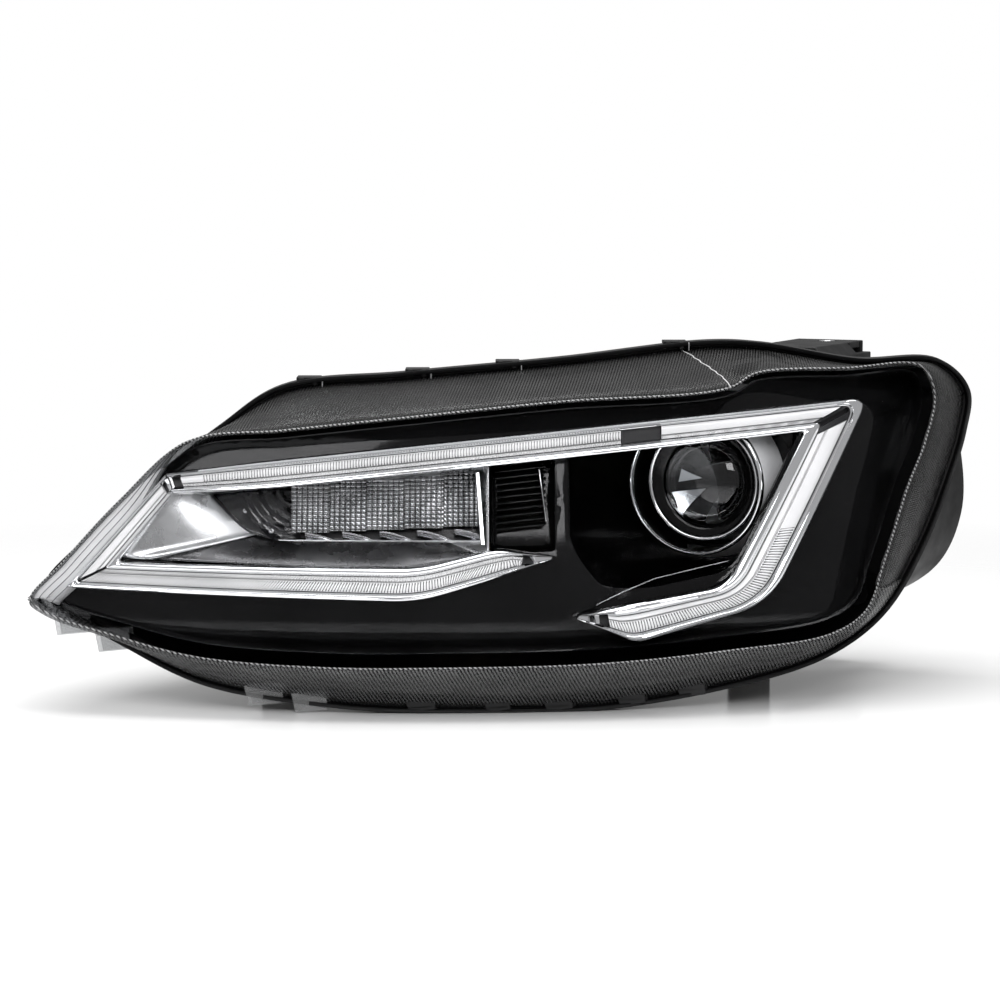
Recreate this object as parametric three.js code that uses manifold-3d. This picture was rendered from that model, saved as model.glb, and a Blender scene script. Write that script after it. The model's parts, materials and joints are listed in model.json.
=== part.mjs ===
// Car headlight assembly, left side of the vehicle.
// Millimetres. Vehicle axes: +X outboard, +Y rearward, +Z up. The lens face is swept
// back round the wing, so the shell is built in "face" axes (u across the lens,
// w into the lamp, z up), turned SWEEP degrees from the vehicle axes.

import * as THREE from 'three';
import { mergeVertices } from 'three/addons/utils/BufferGeometryUtils.js';
import Module from 'manifold-3d';

const wasm = await Module();
wasm.setup();

// ---------------------------------------------------------------- driving dimensions

const SWEEP = THREE.MathUtils.degToRad(25);
const GAP = 0.3; // air between neighbouring pieces

// bow of the outer lens: depth of its front surface at (u, z)
const LENS_APEX_U = -57;
const LENS_BOW_RADIUS = 765;
const LENS_CORNER_U = 172;
const LENS_CORNER_RADIUS = 478;
const LENS_BROW_Z = 28;
const LENS_BROW_RADIUS = 400;

// layers, measured back from the front surface of the lens
const LENS_WALL = 2.5;
const GUIDE_FRONT = 11;
const TRIM_FRONT = 12;
const TRIM_BACK = 21.7;
const BEZEL_FRONT = 22;
const BEZEL_WALL = 2.5;
const BEZEL_BACK = BEZEL_FRONT + BEZEL_WALL;
const BEZEL_INSET = 7.5; // from the crease of the lens
const BEZEL_FLANGE = 44;
const TRAY_FLOOR = 38;
const TRAY_WALL = 2;
const SIGNAL_CUP_DEPTH = 28;

// housing
const REAR_DEPTH = 238; // w of the rear wall's outer face
const HOUSING_WALL = 3;
const BASE_Z = 1.2; // height of the resting plane before the lamp is set on z = 0
const CHANNEL_LIP = 9; // height of the glue channel's outer lip in front of the lens foot
const CHANNEL_FLOOR = 5; // depth of the channel floor behind the lens foot

// projector: axis parallel to Y
const AXIS_X = 75;
const AXIS_Z = 145;
const SLEEVE_FRONT_Y = 147;
const SLEEVE_RADIUS = 47.5;
const WELL_FLOOR_Y = 180;
const PIVOT_Y = 235;
const PORT_RADIUS = 46;
const PORT_END_Y = 340;
const FRAME_HALF = 56; // half the width of the aiming frame
const PIN_RADIUS = 3;
const PUSHROD = { x: 97, z: 79 };
const SIDE_SCREW = { x: 137, z: 171 };
const HEIGHT_SCREW = { x: 140, z: 58 };

// perimeter stations, counter-clockwise seen from the front, starting at the inboard tip:
// [lens face u, z,   lens foot u, z,   rear wall u, z]
const STATIONS = [
  [-308, 75, -300, 77, -202, 92],
  [-298, 67, -289, 65, -200, 72],
  [-250, 53, -252, 47, -186, 52],
  [-197, 41, -195, 22, -160, 38],
  [-113, 35.5, -113, 9, -105, 30],
  [-30, 35.5, -40, 5, -35, 28],
  [67, 37, 62, 5.5, 60, 28],
  [150, 43, 150, 17, 140, 32],
  [220, 51, 218, 34, 205, 38],
  [243, 65, 257, 58, 264, 48],
  [256, 97, 286, 97, 310, 74],
  [273, 143, 308, 143, 327, 112],
  [287, 173, 320, 174, 326, 155],
  [295, 203, 324, 199, 316, 190],
  [286, 222, 305, 218, 286, 209],
  [232, 223, 245, 221, 230, 214],
  [170, 221.5, 178, 233, 172, 218],
  [150, 212, 140, 235, 125, 219],
  [39, 205, 40, 225, 35, 212],
  [-65, 195, -63, 216, -55, 203],
  [-140, 187, -145, 207, -125, 194],
  [-204, 179, -185, 181, -160, 178],
  [-248, 141, -236, 141, -186, 146],
  [-287, 99, -278, 103, -199, 116],
];
const SAMPLES = 2; // points per station

// ---------------------------------------------------------------- materials

const paint = (color, roughness, metalness, opacity = 1) => new THREE.MeshStandardMaterial({
  color, roughness, metalness, opacity, transparent: opacity < 1, flatShading: true,
});
const clearPlastic = paint(0xdfe3e6, 0.05, 0, 0.25);
const fluteClear = paint(0xe8ecef, 0.12, 0, 0.6);
const opticalGlass = paint(0xf2f6f8, 0.02, 0, 0.4);
const glossBlack = paint(0x0b0b0c, 0.12, 0);
const satinBlack = paint(0x17181a, 0.5, 0);
const housingBlack = paint(0x1b1c1e, 0.7, 0);
const chromePlate = paint(0xd9dbde, 0.06, 1);
const aluminium = paint(0xa9adb2, 0.4, 0.9);
const steel = paint(0x8e9297, 0.35, 1);
const rubber = paint(0x121212, 0.85, 0);
const board = paint(0x1d4d33, 0.5, 0);
const brass = paint(0xb08d4a, 0.3, 1);

// ---------------------------------------------------------------- solids

function indexed(geometry) {
  const bare = new THREE.BufferGeometry();
  bare.setAttribute('position', geometry.getAttribute('position').clone());
  if (geometry.index) bare.setIndex(geometry.index.clone());
  return mergeVertices(bare, 1e-4);
}

function signedVolume(vertices, triangles) {
  const [a, b, c] = [new THREE.Vector3(), new THREE.Vector3(), new THREE.Vector3()];
  let volume = 0;
  for (let i = 0; i < triangles.length; i += 3) {
    a.fromArray(vertices, triangles[i] * 3);
    b.fromArray(vertices, triangles[i + 1] * 3);
    c.fromArray(vertices, triangles[i + 2] * 3);
    volume += a.dot(b.cross(c)) / 6;
  }
  return volume;
}

// a closed geometry as a solid, with its faces turned outwards
function solid(geometry) {
  const merged = indexed(geometry);
  const vertProperties = new Float32Array(merged.getAttribute('position').array);
  const faces = [];
  for (let i = 0; i < merged.index.count; i += 3) {
    const [a, b, c] = [0, 1, 2].map((k) => merged.index.getX(i + k));
    if (a !== b && b !== c && c !== a) faces.push(a, b, c);
  }
  if (signedVolume(vertProperties, faces) < 0) faces.reverse();
  const triVerts = new Uint32Array(faces);
  return new wasm.Manifold(new wasm.Mesh({ numProp: 3, vertProperties, triVerts }));
}

function geometryOf(body) {
  const mesh = body.getMesh();
  const geometry = new THREE.BufferGeometry();
  geometry.setAttribute('position', new THREE.BufferAttribute(mesh.vertProperties, 3));
  geometry.setIndex(new THREE.BufferAttribute(mesh.triVerts, 1));
  geometry.computeVertexNormals();
  return geometry;
}

const join = (first, ...others) => others.reduce((body, other) => body.add(other), first);
const cut = (first, ...others) => others.reduce((body, other) => body.subtract(other), first);
const common = (first, ...others) => others.reduce((body, other) => body.intersect(other), first);

const box = (x0, x1, y0, y1, z0, z1) => solid(new THREE.BoxGeometry(x1 - x0, y1 - y0, z1 - z0)
  .translate((x0 + x1) / 2, (y0 + y1) / 2, (z0 + z1) / 2));

// round bars along each axis, from one end to the other
const barY = (radius, y0, y1, x = 0, z = 0, sides = 18) => solid(
  new THREE.CylinderGeometry(radius, radius, y1 - y0, sides).translate(x, (y0 + y1) / 2, z),
);
const barX = (radius, x0, x1, y = 0, z = 0, sides = 18) => solid(
  new THREE.CylinderGeometry(radius, radius, x1 - x0, sides)
    .rotateZ(Math.PI / 2).translate((x0 + x1) / 2, y, z),
);
const barZ = (radius, z0, z1, x = 0, y = 0, sides = 18) => solid(
  new THREE.CylinderGeometry(radius, radius, z1 - z0, sides)
    .rotateX(Math.PI / 2).translate(x, y, (z0 + z1) / 2),
);

// a body turned about the Y axis from a closed profile of [radius, y]
const turned = (profile, sides = 32) => solid(new THREE.LatheGeometry(
  [...profile, profile[0]].map(([radius, y]) => new THREE.Vector2(radius, y)), sides,
));

// ---------------------------------------------------------------- outlines in (u, z)

function lensDepth(u, z) {
  const bow = (u - LENS_APEX_U) ** 2 / (2 * LENS_BOW_RADIUS);
  const corner = Math.max(u - LENS_CORNER_U, 0) ** 2 / (2 * LENS_CORNER_RADIUS);
  const brow = Math.max(z - LENS_BROW_Z, 0) ** 2 / (2 * LENS_BROW_RADIUS);
  return bow + corner + brow;
}

// the foot of the lens sits deeper at the top and sides than under the chin
function footDepth(u, z) {
  return lensDepth(u, z) + 44 + 16 * THREE.MathUtils.clamp((z - 20) / 80, 0, 1);
}

// moves every point of a closed counter-clockwise loop outwards by a distance
function grown(loop, distance) {
  return loop.map((point, i) => {
    const before = point.clone().sub(loop.at(i - 1)).normalize();
    const after = loop[(i + 1) % loop.length].clone().sub(point).normalize();
    const mitre = new THREE.Vector2(before.y + after.y, -before.x - after.x);
    return point.clone().addScaledVector(mitre, distance / (1 + before.dot(after)));
  });
}

// an inset loop without the points that fold over in a tight corner
function inset(loop, distance) {
  const edge = new THREE.Line3();
  const foot = new THREE.Vector3();
  const flat = ({ x, y }) => new THREE.Vector3(x, y, 0);
  return grown(loop, -distance).filter((point) => loop.every((corner, i) => {
    edge.set(flat(corner), flat(loop[(i + 1) % loop.length]));
    return edge.closestPointToPoint(flat(point), true, foot).distanceTo(flat(point)) > distance - 0.05;
  }));
}

function perimeter(column, distance = 0) {
  const points = STATIONS.map((row) => new THREE.Vector3(row[column], row[column + 1], 0));
  const curve = new THREE.CatmullRomCurve3(points, true, 'centripetal');
  const samples = curve.getPoints(STATIONS.length * SAMPLES).slice(0, -1);
  return grown(samples.map((point) => new THREE.Vector2(point.x, point.y)), distance);
}
const faceLoop = (distance) => perimeter(0, distance);
const footLoop = (distance) => perimeter(2, distance);
const rearLoop = (distance) => perimeter(4, distance);

// a polygon of [u, z, corner cut-back], counter-clockwise, with rounded corners
function rounded(corners) {
  const shape = new THREE.Shape();
  const vertices = corners.map(([u, z]) => new THREE.Vector2(u, z));
  vertices.forEach((corner, i) => {
    const radius = corners[i][2] ?? 0;
    const near = (other) => other.clone().sub(corner).setLength(radius).add(corner);
    const entry = near(vertices.at(i - 1));
    const exit = near(vertices[(i + 1) % vertices.length]);
    if (i === 0) shape.moveTo(entry.x, entry.y);
    else shape.lineTo(entry.x, entry.y);
    if (radius > 0) shape.quadraticCurveTo(corner.x, corner.y, exit.x, exit.y);
  });
  shape.closePath();
  const loop = shape.getPoints(3);
  if (loop[0].distanceTo(loop.at(-1)) < 1e-6) loop.pop();
  return THREE.ShapeUtils.isClockWise(loop) ? loop.reverse() : loop;
}

// ---------------------------------------------------------------- shells in face axes

// straight body with an outline in (u, z), from depth w0 to depth w1
function prism(loop, w0 = -60, w1 = 420) {
  const geometry = new THREE.ExtrudeGeometry(new THREE.Shape(loop), {
    depth: w1 - w0, bevelEnabled: false,
  });
  return solid(geometry.translate(0, 0, -w1).rotateX(Math.PI / 2));
}

function meshOf(points, triangles) {
  const geometry = new THREE.BufferGeometry().setFromPoints(points);
  geometry.setIndex(triangles);
  return solid(geometry);
}

// block between two offsets of the lens surface, wider than the whole lamp
function layer(front, back, columns = 20, rows = 8) {
  const points = [];
  for (const offset of [front, back]) {
    for (let i = 0; i <= columns; i += 1) {
      for (let j = 0; j <= rows; j += 1) {
        const u = THREE.MathUtils.lerp(-330, 345, i / columns);
        const z = THREE.MathUtils.lerp(-25, 260, j / rows);
        points.push(new THREE.Vector3(u, lensDepth(u, z) + offset, z));
      }
    }
  }
  const sheet = (columns + 1) * (rows + 1);
  const at = (i, j, side) => side * sheet + i * (rows + 1) + j;
  const triangles = [];
  const quad = (a, b, c, d) => triangles.push(a, b, c, a, c, d);
  for (let i = 0; i < columns; i += 1) {
    for (let j = 0; j < rows; j += 1) {
      quad(at(i, j, 0), at(i + 1, j, 0), at(i + 1, j + 1, 0), at(i, j + 1, 0));
      quad(at(i, j, 1), at(i, j + 1, 1), at(i + 1, j + 1, 1), at(i + 1, j, 1));
    }
    quad(at(i, 0, 0), at(i, 0, 1), at(i + 1, 0, 1), at(i + 1, 0, 0));
    quad(at(i, rows, 0), at(i + 1, rows, 0), at(i + 1, rows, 1), at(i, rows, 1));
  }
  for (let j = 0; j < rows; j += 1) {
    quad(at(0, j, 0), at(0, j + 1, 0), at(0, j + 1, 1), at(0, j, 1));
    quad(at(columns, j, 0), at(columns, j, 1), at(columns, j + 1, 1), at(columns, j + 1, 0));
  }
  return meshOf(points, triangles);
}

const panel = (loop, front, back) => common(layer(front, back), prism(loop));

// a loop lifted to its depth, as one ring of a loft
const ring = (loop, depth) => loop.map(({ x, y }) => new THREE.Vector3(x, depth(x, y), y));

// body skinned over rings of equal length, from front to back, with fanned ends
function loft(rings) {
  const size = rings[0].length;
  const points = rings.flat();
  const triangles = [];
  for (let r = 0; r < rings.length - 1; r += 1) {
    for (let i = 0; i < size; i += 1) {
      const next = (i + 1) % size;
      const [a, b] = [r * size + i, r * size + next];
      triangles.push(a, b, b + size, a, b + size, a + size);
    }
  }
  [[0, false], [rings.length - 1, true]].forEach(([r, last]) => {
    const centre = new THREE.Vector3();
    rings[r].forEach((point) => centre.addScaledVector(point, 1 / size));
    points.push(centre);
    for (let i = 0; i < size; i += 1) {
      const [a, b] = [r * size + i, r * size + ((i + 1) % size)];
      triangles.push(...(last ? [a, b, points.length - 1] : [b, a, points.length - 1]));
    }
  });
  return meshOf(points, triangles);
}

// closed ring with a constant cross-section of [distance from the loop, depth]
function rim(loopAt, depth, section) {
  const base = loopAt(0);
  const rings = section.map(([distance, offset]) => loopAt(distance).map(
    ({ x, y }, i) => new THREE.Vector3(x, depth(base[i].x, base[i].y) + offset, y),
  ));
  const size = base.length;
  const triangles = [];
  for (let r = 0; r < rings.length; r += 1) {
    const across = ((r + 1) % rings.length) * size;
    for (let i = 0; i < size; i += 1) {
      const next = (i + 1) % size;
      triangles.push(r * size + i, r * size + next, across + next);
      triangles.push(r * size + i, across + next, across + i);
    }
  }
  return meshOf(rings.flat(), triangles);
}

// body drawn in vehicle axes, turned into face axes
const turnToFace = (body) => body.rotate(0, 0, -THREE.MathUtils.radToDeg(SWEEP));

// ---------------------------------------------------------------- scene graph

const headlight = new THREE.Group();
const face = new THREE.Group();
face.rotation.z = SWEEP;
const vehicle = new THREE.Group();
headlight.add(face, vehicle);

function add(group, name, body, material, position = [0, 0, 0]) {
  const mesh = new THREE.Mesh(geometryOf(body), material);
  mesh.name = name;
  mesh.position.set(...position);
  group.add(mesh);
  return mesh;
}

// ---------------------------------------------------------------- outer lens and gasket

function outerLens() {
  const outer = loft([
    ring(faceLoop(0), () => -60),
    ring(faceLoop(0), (u, z) => lensDepth(u, z) + 1.5),
    ring(footLoop(0), footDepth),
    ring(footLoop(-LENS_WALL - 1), footDepth),
  ]);
  const inner = loft([
    ring(faceLoop(-LENS_WALL), () => -70),
    ring(faceLoop(-LENS_WALL), (u, z) => lensDepth(u, z) + 2),
    ring(footLoop(-LENS_WALL), footDepth),
    ring(footLoop(-LENS_WALL), (u, z) => footDepth(u, z) + 60),
  ]);
  return cut(common(outer, layer(0, 400)), common(inner, layer(LENS_WALL, 420)));
}

function lensGasket() {
  return rim(footLoop, footDepth, [
    [1.4, 0.7], [1.4, CHANNEL_FLOOR - GAP], [-4.1, CHANNEL_FLOOR - GAP], [-4.1, 0.7],
  ]);
}

// ---------------------------------------------------------------- housing

const CHANNEL_OUT = 4.5;
const CHANNEL_IN = -7.5;
const INNER_LIP = -1.5; // the channel's inner lip is low, clear of the lens skirt
const FEET = [[-150, 165], [175, 205]]; // [u, w] of the rear feet
const TABS = { inner: [-128, 252, 186], lower: [-20, 252, 47] }; // [u, w, z] of bolt holes
const ARM = { x0: 62, x1: 118, y0: 285, y1: 382, z0: 209, z1: 230, boltY: 366 };
const ARM_BEVEL = 8;
const BUSHING_RADIUS = 6;
const VENTS = [[-110, 160], [20, 180]]; // [u, z] of the breather holes
const VENT_RADIUS = 8;
const CONNECTOR = { u0: -41.7, u1: 11.7, z0: 60.3, z1: 95.7 }; // hole in the rear wall

function housingShell() {
  const outer = loft([
    ring(footLoop(CHANNEL_IN - 1), (u, z) => footDepth(u, z) - CHANNEL_LIP),
    ring(footLoop(CHANNEL_OUT), (u, z) => footDepth(u, z) - CHANNEL_LIP),
    ring(footLoop(CHANNEL_OUT), (u, z) => footDepth(u, z) + CHANNEL_FLOOR + HOUSING_WALL),
    ring(footLoop(-1), (u, z) => footDepth(u, z) + 17),
    ring(rearLoop(0), () => REAR_DEPTH - 4),
    ring(rearLoop(-4), () => REAR_DEPTH),
  ]);
  const inner = loft([
    ring(footLoop(CHANNEL_IN), (u, z) => footDepth(u, z) - 70),
    ring(footLoop(CHANNEL_IN), (u, z) => footDepth(u, z) + 17),
    ring(rearLoop(-HOUSING_WALL), () => REAR_DEPTH - 5),
    ring(rearLoop(-7), () => REAR_DEPTH - HOUSING_WALL),
  ]);
  const channel = rim(footLoop, footDepth, [
    [1.8, -30], [1.8, CHANNEL_FLOOR], [-4.5, CHANNEL_FLOOR], [-4.5, INNER_LIP],
    [CHANNEL_IN - 4, INNER_LIP], [CHANNEL_IN - 4, -30],
  ]);
  return { outer, inner, channel };
}

function tab([u, w, z]) {
  const plate = prism(rounded([
    [u - 16, REAR_DEPTH - 2], [u + 16, REAR_DEPTH - 2], [u + 16, w + 15, 12], [u - 16, w + 15, 12],
  ]), 0, 5);
  const rib = box(u - 14, u - 11, REAR_DEPTH - 2, w - 4, z - 18, z);
  return join(plate.rotate(-90, 0, 0).translate(0, 0, z + 5), rib);
}

// hollow arm over the rear wall, with a bolt hole through its far end
function mountingArm() {
  const { x0, x1, y0, y1, z0, z1, boltY } = ARM;
  const section = [[x0, z0], [x1, z0], [x1, z1 - ARM_BEVEL], [x1 - ARM_BEVEL, z1], [x0, z1]];
  const wall = 4;
  return turnToFace(cut(
    prism(rounded(section), y0, y1),
    box(x0 + wall, x1 - wall - 3, y0 + 30, y1 - wall, z0 - 1, z1 - wall - 1),
    barZ(BUSHING_RADIUS + GAP, z0 - 2, z1 + 2, (x0 + x1) / 2, boltY),
  ));
}

function housing() {
  const { outer, inner, channel } = housingShell();
  const feet = FEET.map(([u, w]) => box(u - 14, u + 14, w - 12, w + 12, 0, 60));
  const port = turnToFace(barY(PORT_RADIUS, 262, PORT_END_Y, AXIS_X, AXIS_Z, 32));
  const boss = turnToFace(join(
    barY(16, 276, 315, PUSHROD.x, PUSHROD.z, 32),
    barY(9, 296, 335, SIDE_SCREW.x, SIDE_SCREW.z),
    barY(9, 300, 338, HEIGHT_SCREW.x, HEIGHT_SCREW.z),
  ));
  const holes = turnToFace(join(
    barY(PORT_RADIUS - HOUSING_WALL, 200, 360, AXIS_X, AXIS_Z, 32),
    barY(11.4, 240, 360, PUSHROD.x, PUSHROD.z, 32),
    barY(PIN_RADIUS + 0.6, 240, 360, SIDE_SCREW.x, SIDE_SCREW.z),
    barY(PIN_RADIUS + 0.6, 240, 360, HEIGHT_SCREW.x, HEIGHT_SCREW.z),
  ));
  const bolts = Object.values(TABS).map(([u, w, z]) => barZ(BUSHING_RADIUS + GAP, z - 25, z + 8, u, w));
  const vents = VENTS.map(([u, z]) => barY(VENT_RADIUS, 200, 260, u, z, 20));
  const { u0, u1, z0, z1 } = CONNECTOR;
  const connector = box(u0, u1, 200, 260, z0, z1);
  const shell = cut(join(outer, ...feet), inner);
  const underside = box(-400, 400, -100, 500, -50, BASE_Z);
  return cut(
    join(shell, cut(join(port, boss), inner), mountingArm(), tab(TABS.inner), tab(TABS.lower)),
    channel, holes, ...bolts, ...vents, connector, underside,
  );
}


// ---------------------------------------------------------------- bezel, trims and light guides

const UPPER_TRIM = rounded([
  [-218, 157, 3], [-158, 165, 25], [-52, 176.5, 60], [106, 191.5, 60], [248, 202.5, 14],
  [177, 71, 23], [89, 48.5, 6], [50, 65, 1.5], [64, 71.5, 4], [149, 83.5, 11], [203, 181.5, 3],
  [106, 173.5, 60], [-52, 158.5, 60], [-157, 147.5, 20], [-213, 144.5, 2],
]);
const UPPER_SLOT = rounded([
  [-206, 156.5, 2], [-158, 162.2, 25], [-52, 173.2, 60], [106, 188.2, 60], [226, 197.2, 3],
  [221, 189, 2], [106, 178.6, 60], [-52, 163.6, 60], [-157, 152.6, 25], [-202, 149.6, 2],
]);
const HOOK_SLOT = rounded([
  [214, 181.5, 2], [162, 85, 9], [90, 67.5, 4], [67, 62.5, 1], [84, 55.5, 4], [170, 74.5, 15],
  [230, 183, 2],
]);
const LOWER_TRIM = rounded([
  [-286, 82, 2], [-204, 80, 40], [-63, 76.5, 11], [-43, 78.5, 8], [33, 103.5, 1.5],
  [2, 110.5, 6], [-8, 108.5, 4], [-50, 98.5, 16], [-250, 99.5, 4], [-214, 141.5, 3],
  [-219, 154.5, 2],
]);
const LOWER_SLOT = rounded([
  [-264, 86, 2], [-60, 82, 11], [-40, 84, 8], [12, 100.5, 1], [-5, 104, 5], [-46, 93.5, 14],
  [-258, 94.5, 2],
]);
const LEFT_SLOT = rounded([
  [-262.4, 103, 1.5], [-257, 98, 1.5], [-220, 138.3, 1.5], [-225.4, 143.3, 1.5],
]);
const ARROW_OPENING = rounded([
  [-216, 147, 2], [-252, 102, 3], [-60, 96.5, 5], [-2, 106.5, 4], [36, 107, 3],
  [36, 169.5, 3], [-52, 161.5, 40], [-157, 150.5, 20],
]);
const WELL_OPENING = rounded([
  [46, 170.5, 4], [46, 104, 14], [82, 77, 14], [152, 90, 12], [200, 184, 4],
]);
const WELL_CHAMBER = rounded([
  [44, 182, 4], [44, 99, 14], [77, 73.5, 12], [162, 80, 12], [200, 128, 8], [200, 197, 6], [62, 194, 6],
]);

function bezelMask() {
  const sheet = panel(inset(faceLoop(), BEZEL_INSET), BEZEL_FRONT, BEZEL_BACK);
  const flange = rim(faceLoop, lensDepth, [
    [-BEZEL_INSET, BEZEL_FRONT + 1], [-BEZEL_INSET - 6, BEZEL_FLANGE],
    [-BEZEL_INSET - 8.5, BEZEL_FLANGE], [-BEZEL_INSET - 2.5, BEZEL_FRONT + 1],
  ]);
  const edge = cut(flange, prism(grown(WELL_CHAMBER, GAP)));
  return cut(join(sheet, edge), prism(ARROW_OPENING), prism(WELL_OPENING), ...lightWindows());
}

// light from the boards behind the bezel enters the guides through square windows
const LIGHT_INLETS = [[218, 193], [214, 172], [-180, 155.5], [-245, 90.5], [-241.5, 118.5]];

function lightWindows() {
  return LIGHT_INLETS.map(([u, z]) => box(u - 2.5, u + 2.5, -60, 420, z - 2.5, z + 2.5));
}

// trim with a groove for each guide; the groove leaves a floor under the guide
const GROOVE_BACK = TRIM_BACK - 2.2;

function trim(loop, ...slots) {
  const grooves = slots.map((slot) => common(layer(0, GROOVE_BACK), prism(slot)));
  return cut(panel(loop, TRIM_FRONT, TRIM_BACK), ...grooves, ...lightWindows());
}

const guide = (slot) => panel(inset(slot, GAP), GUIDE_FRONT, GROOVE_BACK - GAP);

const BOARD_THICKNESS = 1.6;
const boardLayer = (corners) => panel(
  rounded(corners), BEZEL_BACK + GAP, BEZEL_BACK + GAP + BOARD_THICKNESS,
);

// ---------------------------------------------------------------- reflector tray and turn signal

const TRAY = inset(rounded([
  [-216, 147, 2], [-252, 102, 3], [-60, 96.5, 5], [-7, 105.5, 2], [-7, 165.5, 2], [-52, 161.5, 30],
  [-157, 150.5, 20],
]), GAP);
const SIGNAL_WINDOW = rounded([
  [-190, 141.5, 4], [-168, 118, 6], [-148, 112, 5], [-11, 112, 2], [-15, 157, 2], [-131, 149, 20],
]);
const SIGNAL_CELLS = 5;
const SIGNAL_PITCH = 27;
const SIGNAL_FIRST_U = -141;
const SIGNAL_CENTRE_Z = 131;

function reflectorTray() {
  const block = panel(TRAY, BEZEL_BACK + GAP, TRAY_FLOOR + TRAY_WALL);
  const hollow = common(layer(0, TRAY_FLOOR), prism(inset(TRAY, TRAY_WALL)));
  return cut(block, hollow, prism(SIGNAL_WINDOW));
}

const signalCell = (index) => {
  const u = SIGNAL_FIRST_U + index * SIGNAL_PITCH;
  return [u, lensDepth(u, SIGNAL_CENTRE_Z)];
};

function signalLens() {
  return panel(grown(SIGNAL_WINDOW, 2), TRAY_FLOOR + TRAY_WALL + GAP, TRAY_FLOOR + TRAY_WALL + 3);
}

// five bowls side by side, each with a light inlet at its root
function signalReflector() {
  const front = TRAY_FLOOR + TRAY_WALL + 3 + GAP;
  let body = panel(grown(SIGNAL_WINDOW, 4), front, front + SIGNAL_CUP_DEPTH);
  for (let i = 0; i < SIGNAL_CELLS; i += 1) {
    const [u, depth] = signalCell(i);
    const bowl = solid(new THREE.SphereGeometry(1, 12, 8)
      .scale(12.5, SIGNAL_CUP_DEPTH - 4, 15).translate(u, depth + front - 1, SIGNAL_CENTRE_Z));
    const inlet = box(u - 3, u + 3, depth, depth + 120, SIGNAL_CENTRE_Z - 3, SIGNAL_CENTRE_Z + 3);
    body = cut(body, bowl, inlet);
  }
  return body;
}

const SIGNAL_BACK = TRAY_FLOOR + TRAY_WALL + 3 + GAP + SIGNAL_CUP_DEPTH;

function signalBoard() {
  const loop = rounded([[-172, 116, 3], [-14, 116, 3], [-18, 148, 3], [-150, 142, 3]]);
  return panel(loop, SIGNAL_BACK + GAP, SIGNAL_BACK + GAP + BOARD_THICKNESS);
}

function signalHeatsink() {
  const front = SIGNAL_BACK + 2 * GAP + BOARD_THICKNESS;
  const loop = rounded([[-168, 118, 3], [-18, 118, 3], [-20, 144, 3], [-150, 140, 3]]);
  const fins = [];
  for (let u = -158; u <= -30; u += 16) {
    fins.push(common(layer(front + 2, front + 18), box(u - 1, u + 1, -60, 420, 120, 138)));
  }
  return join(panel(loop, front, front + 4), ...fins);
}

const VANE_PITCH = 8;
const VANE_WALL = 1.6;
const VANE_FRONT = 30;

// dark panel of level vanes between the signal and the projector
function vanePanel() {
  const loop = inset(rounded([
    [-6.4, 104, 1], [36, 107, 3], [36, 169.5, 3], [-6.4, 166, 1],
  ]), GAP);
  const vanes = [];
  for (let z = 122; z < 162; z += VANE_PITCH) {
    vanes.push(common(layer(VANE_FRONT, TRAY_FLOOR + 1), box(-3, 30, -60, 420, z, z + VANE_WALL)));
  }
  const block = panel(loop, BEZEL_BACK + GAP, TRAY_FLOOR + TRAY_WALL);
  const hollow = common(layer(0, TRAY_FLOOR), prism(inset(loop, TRAY_WALL)));
  return join(cut(block, hollow), ...vanes);
}

// ---------------------------------------------------------------- projector well and sleeve

// depth of the plane Y = y at a point across the face
const planeDepth = (y) => (u) => (y - u * Math.sin(SWEEP)) / Math.cos(SWEEP);

function projectorWell() {
  const outer = common(layer(BEZEL_BACK + GAP, 400), loft([
    ring(WELL_CHAMBER, (u, z) => lensDepth(u, z) + BEZEL_FRONT),
    ring(WELL_CHAMBER, planeDepth(WELL_FLOOR_Y + 2.5)),
  ]));
  const inner = loft([
    ring(grown(WELL_CHAMBER, -2.2), (u, z) => lensDepth(u, z) + 5),
    ring(grown(WELL_CHAMBER, -2.2), planeDepth(WELL_FLOOR_Y)),
  ]);
  const hole = turnToFace(barY(SLEEVE_RADIUS - 2, 100, 260, AXIS_X, AXIS_Z, 32));
  return cut(outer, inner, hole);
}

// turned pieces below are drawn about the projector axis, y from the pivot
const fromPivot = (y) => y - PIVOT_Y;

function projectorSleeve() {
  const [front, back] = [fromPivot(SLEEVE_FRONT_Y), fromPivot(WELL_FLOOR_Y - GAP)];
  return turned([
    [SLEEVE_RADIUS - 2, back], [SLEEVE_RADIUS, back], [SLEEVE_RADIUS, front + 1],
    [SLEEVE_RADIUS - 0.8, front], [SLEEVE_RADIUS - 2, front + 1],
  ], 36);
}

// ---------------------------------------------------------------- projector unit

const GLASS_RADIUS = 31;
const GLASS_EDGE_Y = -63;
const BARREL_FRONT_Y = -69;
const BARREL_BACK_Y = -10;
const SHIELD_Y = -22;
const SHIELD_SHAFT_Z = -25;
const LEVER_LENGTH = 28; // shield shaft to solenoid axis

// plano-convex lens, bulging forwards
function projectorLens() {
  const bulge = [];
  for (let i = 0; i <= 5; i += 1) {
    const radius = (GLASS_RADIUS * (5 - i)) / 5;
    bulge.push([radius, GLASS_EDGE_Y - 16 * (1 - (radius / GLASS_RADIUS) ** 2)]);
  }
  return turned([[0, GLASS_EDGE_Y + 4], [GLASS_RADIUS, GLASS_EDGE_Y + 4], ...bulge], 36);
}

function lensRetainer() {
  return turned([
    [29.6, BARREL_FRONT_Y - 1.2], [38, BARREL_FRONT_Y - 2.3], [40, BARREL_FRONT_Y - 1.6],
    [40, BARREL_FRONT_Y - GAP], [30.9, BARREL_FRONT_Y - GAP], [30.9, GLASS_EDGE_Y - 0.9],
    [29.6, GLASS_EDGE_Y - 1.9],
  ], 36);
}

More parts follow.
